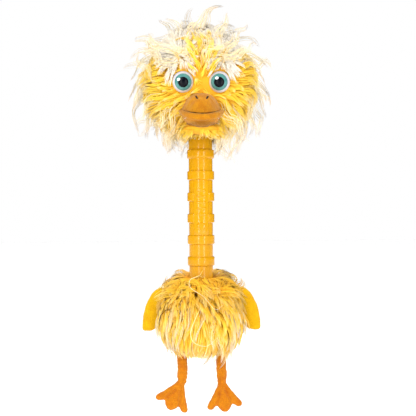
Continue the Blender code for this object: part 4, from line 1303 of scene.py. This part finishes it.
def puff(name, outline, thick, edge, material, darts=(), spacing=0.85 * MM):
    """A stuffed flat shape: two layers sewn round their outline, pulled in along its darts."""
    rim = spline(outline)
    low, high = rim.min(axis=0), rim.max(axis=0)
    xs = np.arange(low[0], high[0], spacing)
    ys = np.arange(low[1], high[1], spacing * 0.866)
    inside = np.array([(x + (j % 2) * spacing / 2.0, y) for j, y in enumerate(ys) for x in xs])
    count = len(rim)
    rim_gap = np.min([segment_gap(inside, rim[i], rim[(i + 1) % count]) for i in range(count)], axis=0)
    inside = inside[rim_gap > spacing * 0.5]
    flat = [Vector(p) for p in np.concatenate((rim, inside))]
    edges = [(i, (i + 1) % count) for i in range(count)]
    spots, _, faces, *_ = delaunay_2d_cdt(flat, edges, [], 1, 0.00001)
    spots = np.array([tuple(p) for p in spots])
    gap = np.min([segment_gap(spots, rim[i], rim[(i + 1) % count]) for i in range(count)], axis=0)
    near = np.clip(gap / edge, 0.0, 1.0)
    height = thick / 2.0 * np.sqrt(1.0 - (1.0 - near) ** 2)
    for start, end, depth, width in darts:
        height *= 1.0 - depth * np.exp(-(segment_gap(spots, np.array(start), np.array(end)) / width) ** 2)
    height = np.maximum(height, 0.0)
    front = np.column_stack((spots, height))
    back = np.column_stack((spots, -height))
    faces = [tuple(f) for f in faces]
    faces += [tuple(index + len(spots) for index in face[::-1]) for face in faces]
    obj = add_mesh(name, np.concatenate((front, back)), faces, material)
    weld(obj, 0.00003)
    return obj


FOOT_OUTLINE = np.array([
    (-4.6, -3.0), (0.0, -1.5), (4.6, -3.0), (7.2, -9.0), (13.8, -19.5), (20.4, -29.0), (20.2, -33.6),
    (15.4, -34.6), (9.6, -31.2), (6.8, -34.8), (2.6, -38.6), (-2.6, -38.6), (-6.8, -34.8), (-9.6, -31.2),
    (-15.4, -34.6), (-20.2, -33.6), (-20.4, -29.0), (-13.8, -19.5), (-7.2, -9.0),
]) * MM
FOOT_DARTS = (
    ((-9.6 * MM, -31.0 * MM), (-3.4 * MM, -14.0 * MM), 0.55, 1.5 * MM),
    ((9.6 * MM, -31.0 * MM), (3.4 * MM, -14.0 * MM), 0.55, 1.5 * MM),
)
FOOT_SWING = {"left": math.radians(27.0), "right": math.radians(-6.0)}
FOOT_TILT = math.radians(25.0)


def build_legs():
    for label, side in SIDES:
        leg_low, leg_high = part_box(f"leg_{label}")
        x, ankle = (leg_low.x + leg_high.x) / 2.0, leg_low.z - 2.6 * MM
        turn = Matrix.Rotation(FOOT_SWING[label], 4, "Y") @ Matrix.Rotation(math.pi / 2 - FOOT_TILT, 4, "X")
        foot = puff("sole", FOOT_OUTLINE, 9.0 * MM, 5.5 * MM, FOOT, FOOT_DARTS)
        foot.data.transform(Matrix.Translation((x, 0.0, ankle)) @ turn)
        heights = np.linspace(leg_high.z, ankle - 5.0 * MM, 40)
        sag = np.sin((heights - ankle) * 190.0 + side)
        sway = 0.4 * MM * np.cos(heights * 260.0)
        path = np.stack((np.full(40, x) + 0.35 * MM * sag, sway, heights), axis=1)
        path[:, 1] -= 2.0 * MM * ease(ankle + 6.0 * MM, ankle - 5.0 * MM, heights)
        waist = np.exp(-((heights - ankle) / (1.9 * MM)) ** 2)
        radii = 6.2 * MM * (1.0 - 0.16 * waist) + 0.16 * MM * np.sin(heights * 1500.0 + side * 2.0)
        radii *= 1.0 - 0.35 * ease(ankle - 2.0 * MM, ankle - 5.0 * MM, heights)
        shin = tube("shin", path, radii, FOOT, 32)
        limb = merge(f"leg_and_foot_{label}", foot, shin)
        remesh(limb, 0.75 * MM, 5, 0.5)
        set_coordinates(limb, napped(limb, (0.22, 8.0, 21 + int(side)), (0.1, 3.0, 31 + int(side))))
        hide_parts(f"leg_{label}", f"foot_{label}")
        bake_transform(limb)


WING_OUTLINE = np.array([
    (-3.0, 7.6), (5.0, 10.6), (12.0, 7.8), (18.0, 1.0), (23.5, -10.0), (27.0, -23.0), (28.2, -34.0),
    (27.4, -39.4), (23.0, -41.4), (12.0, -38.4), (4.0, -24.0), (-4.0, -3.0),
]) * MM


def build_wings():
    for label, side in SIDES:
        shoulder = Matrix.Translation(JOINT_POINTS[f"wing_flap_{label}"])
        shape = WING_OUTLINE * np.array((side, 1.0))
        wing = puff(f"wing_plush_{label}", shape, 7.6 * MM, 7.0 * MM, WING)
        remesh(wing, 0.75 * MM, 3, 0.5)
        set_coordinates(wing, napped(wing, (0.25, 10.0, 41 + int(side))))
        wing.data.transform(shoulder @ Matrix.Rotation(math.pi / 2, 4, "X"))
        attach(wing, "wing_plush", f"wing_{label}", f"wing_{label}", fill=0.5)


# ---------------------------------------------------------------- build

build_neck()
build_trigger()
build_eyes()
build_nostrils(build_upper_beak())
build_lower_beak()
build_legs()
build_wings()
build_fur()
build_stray_hairs()
finish_nodes()
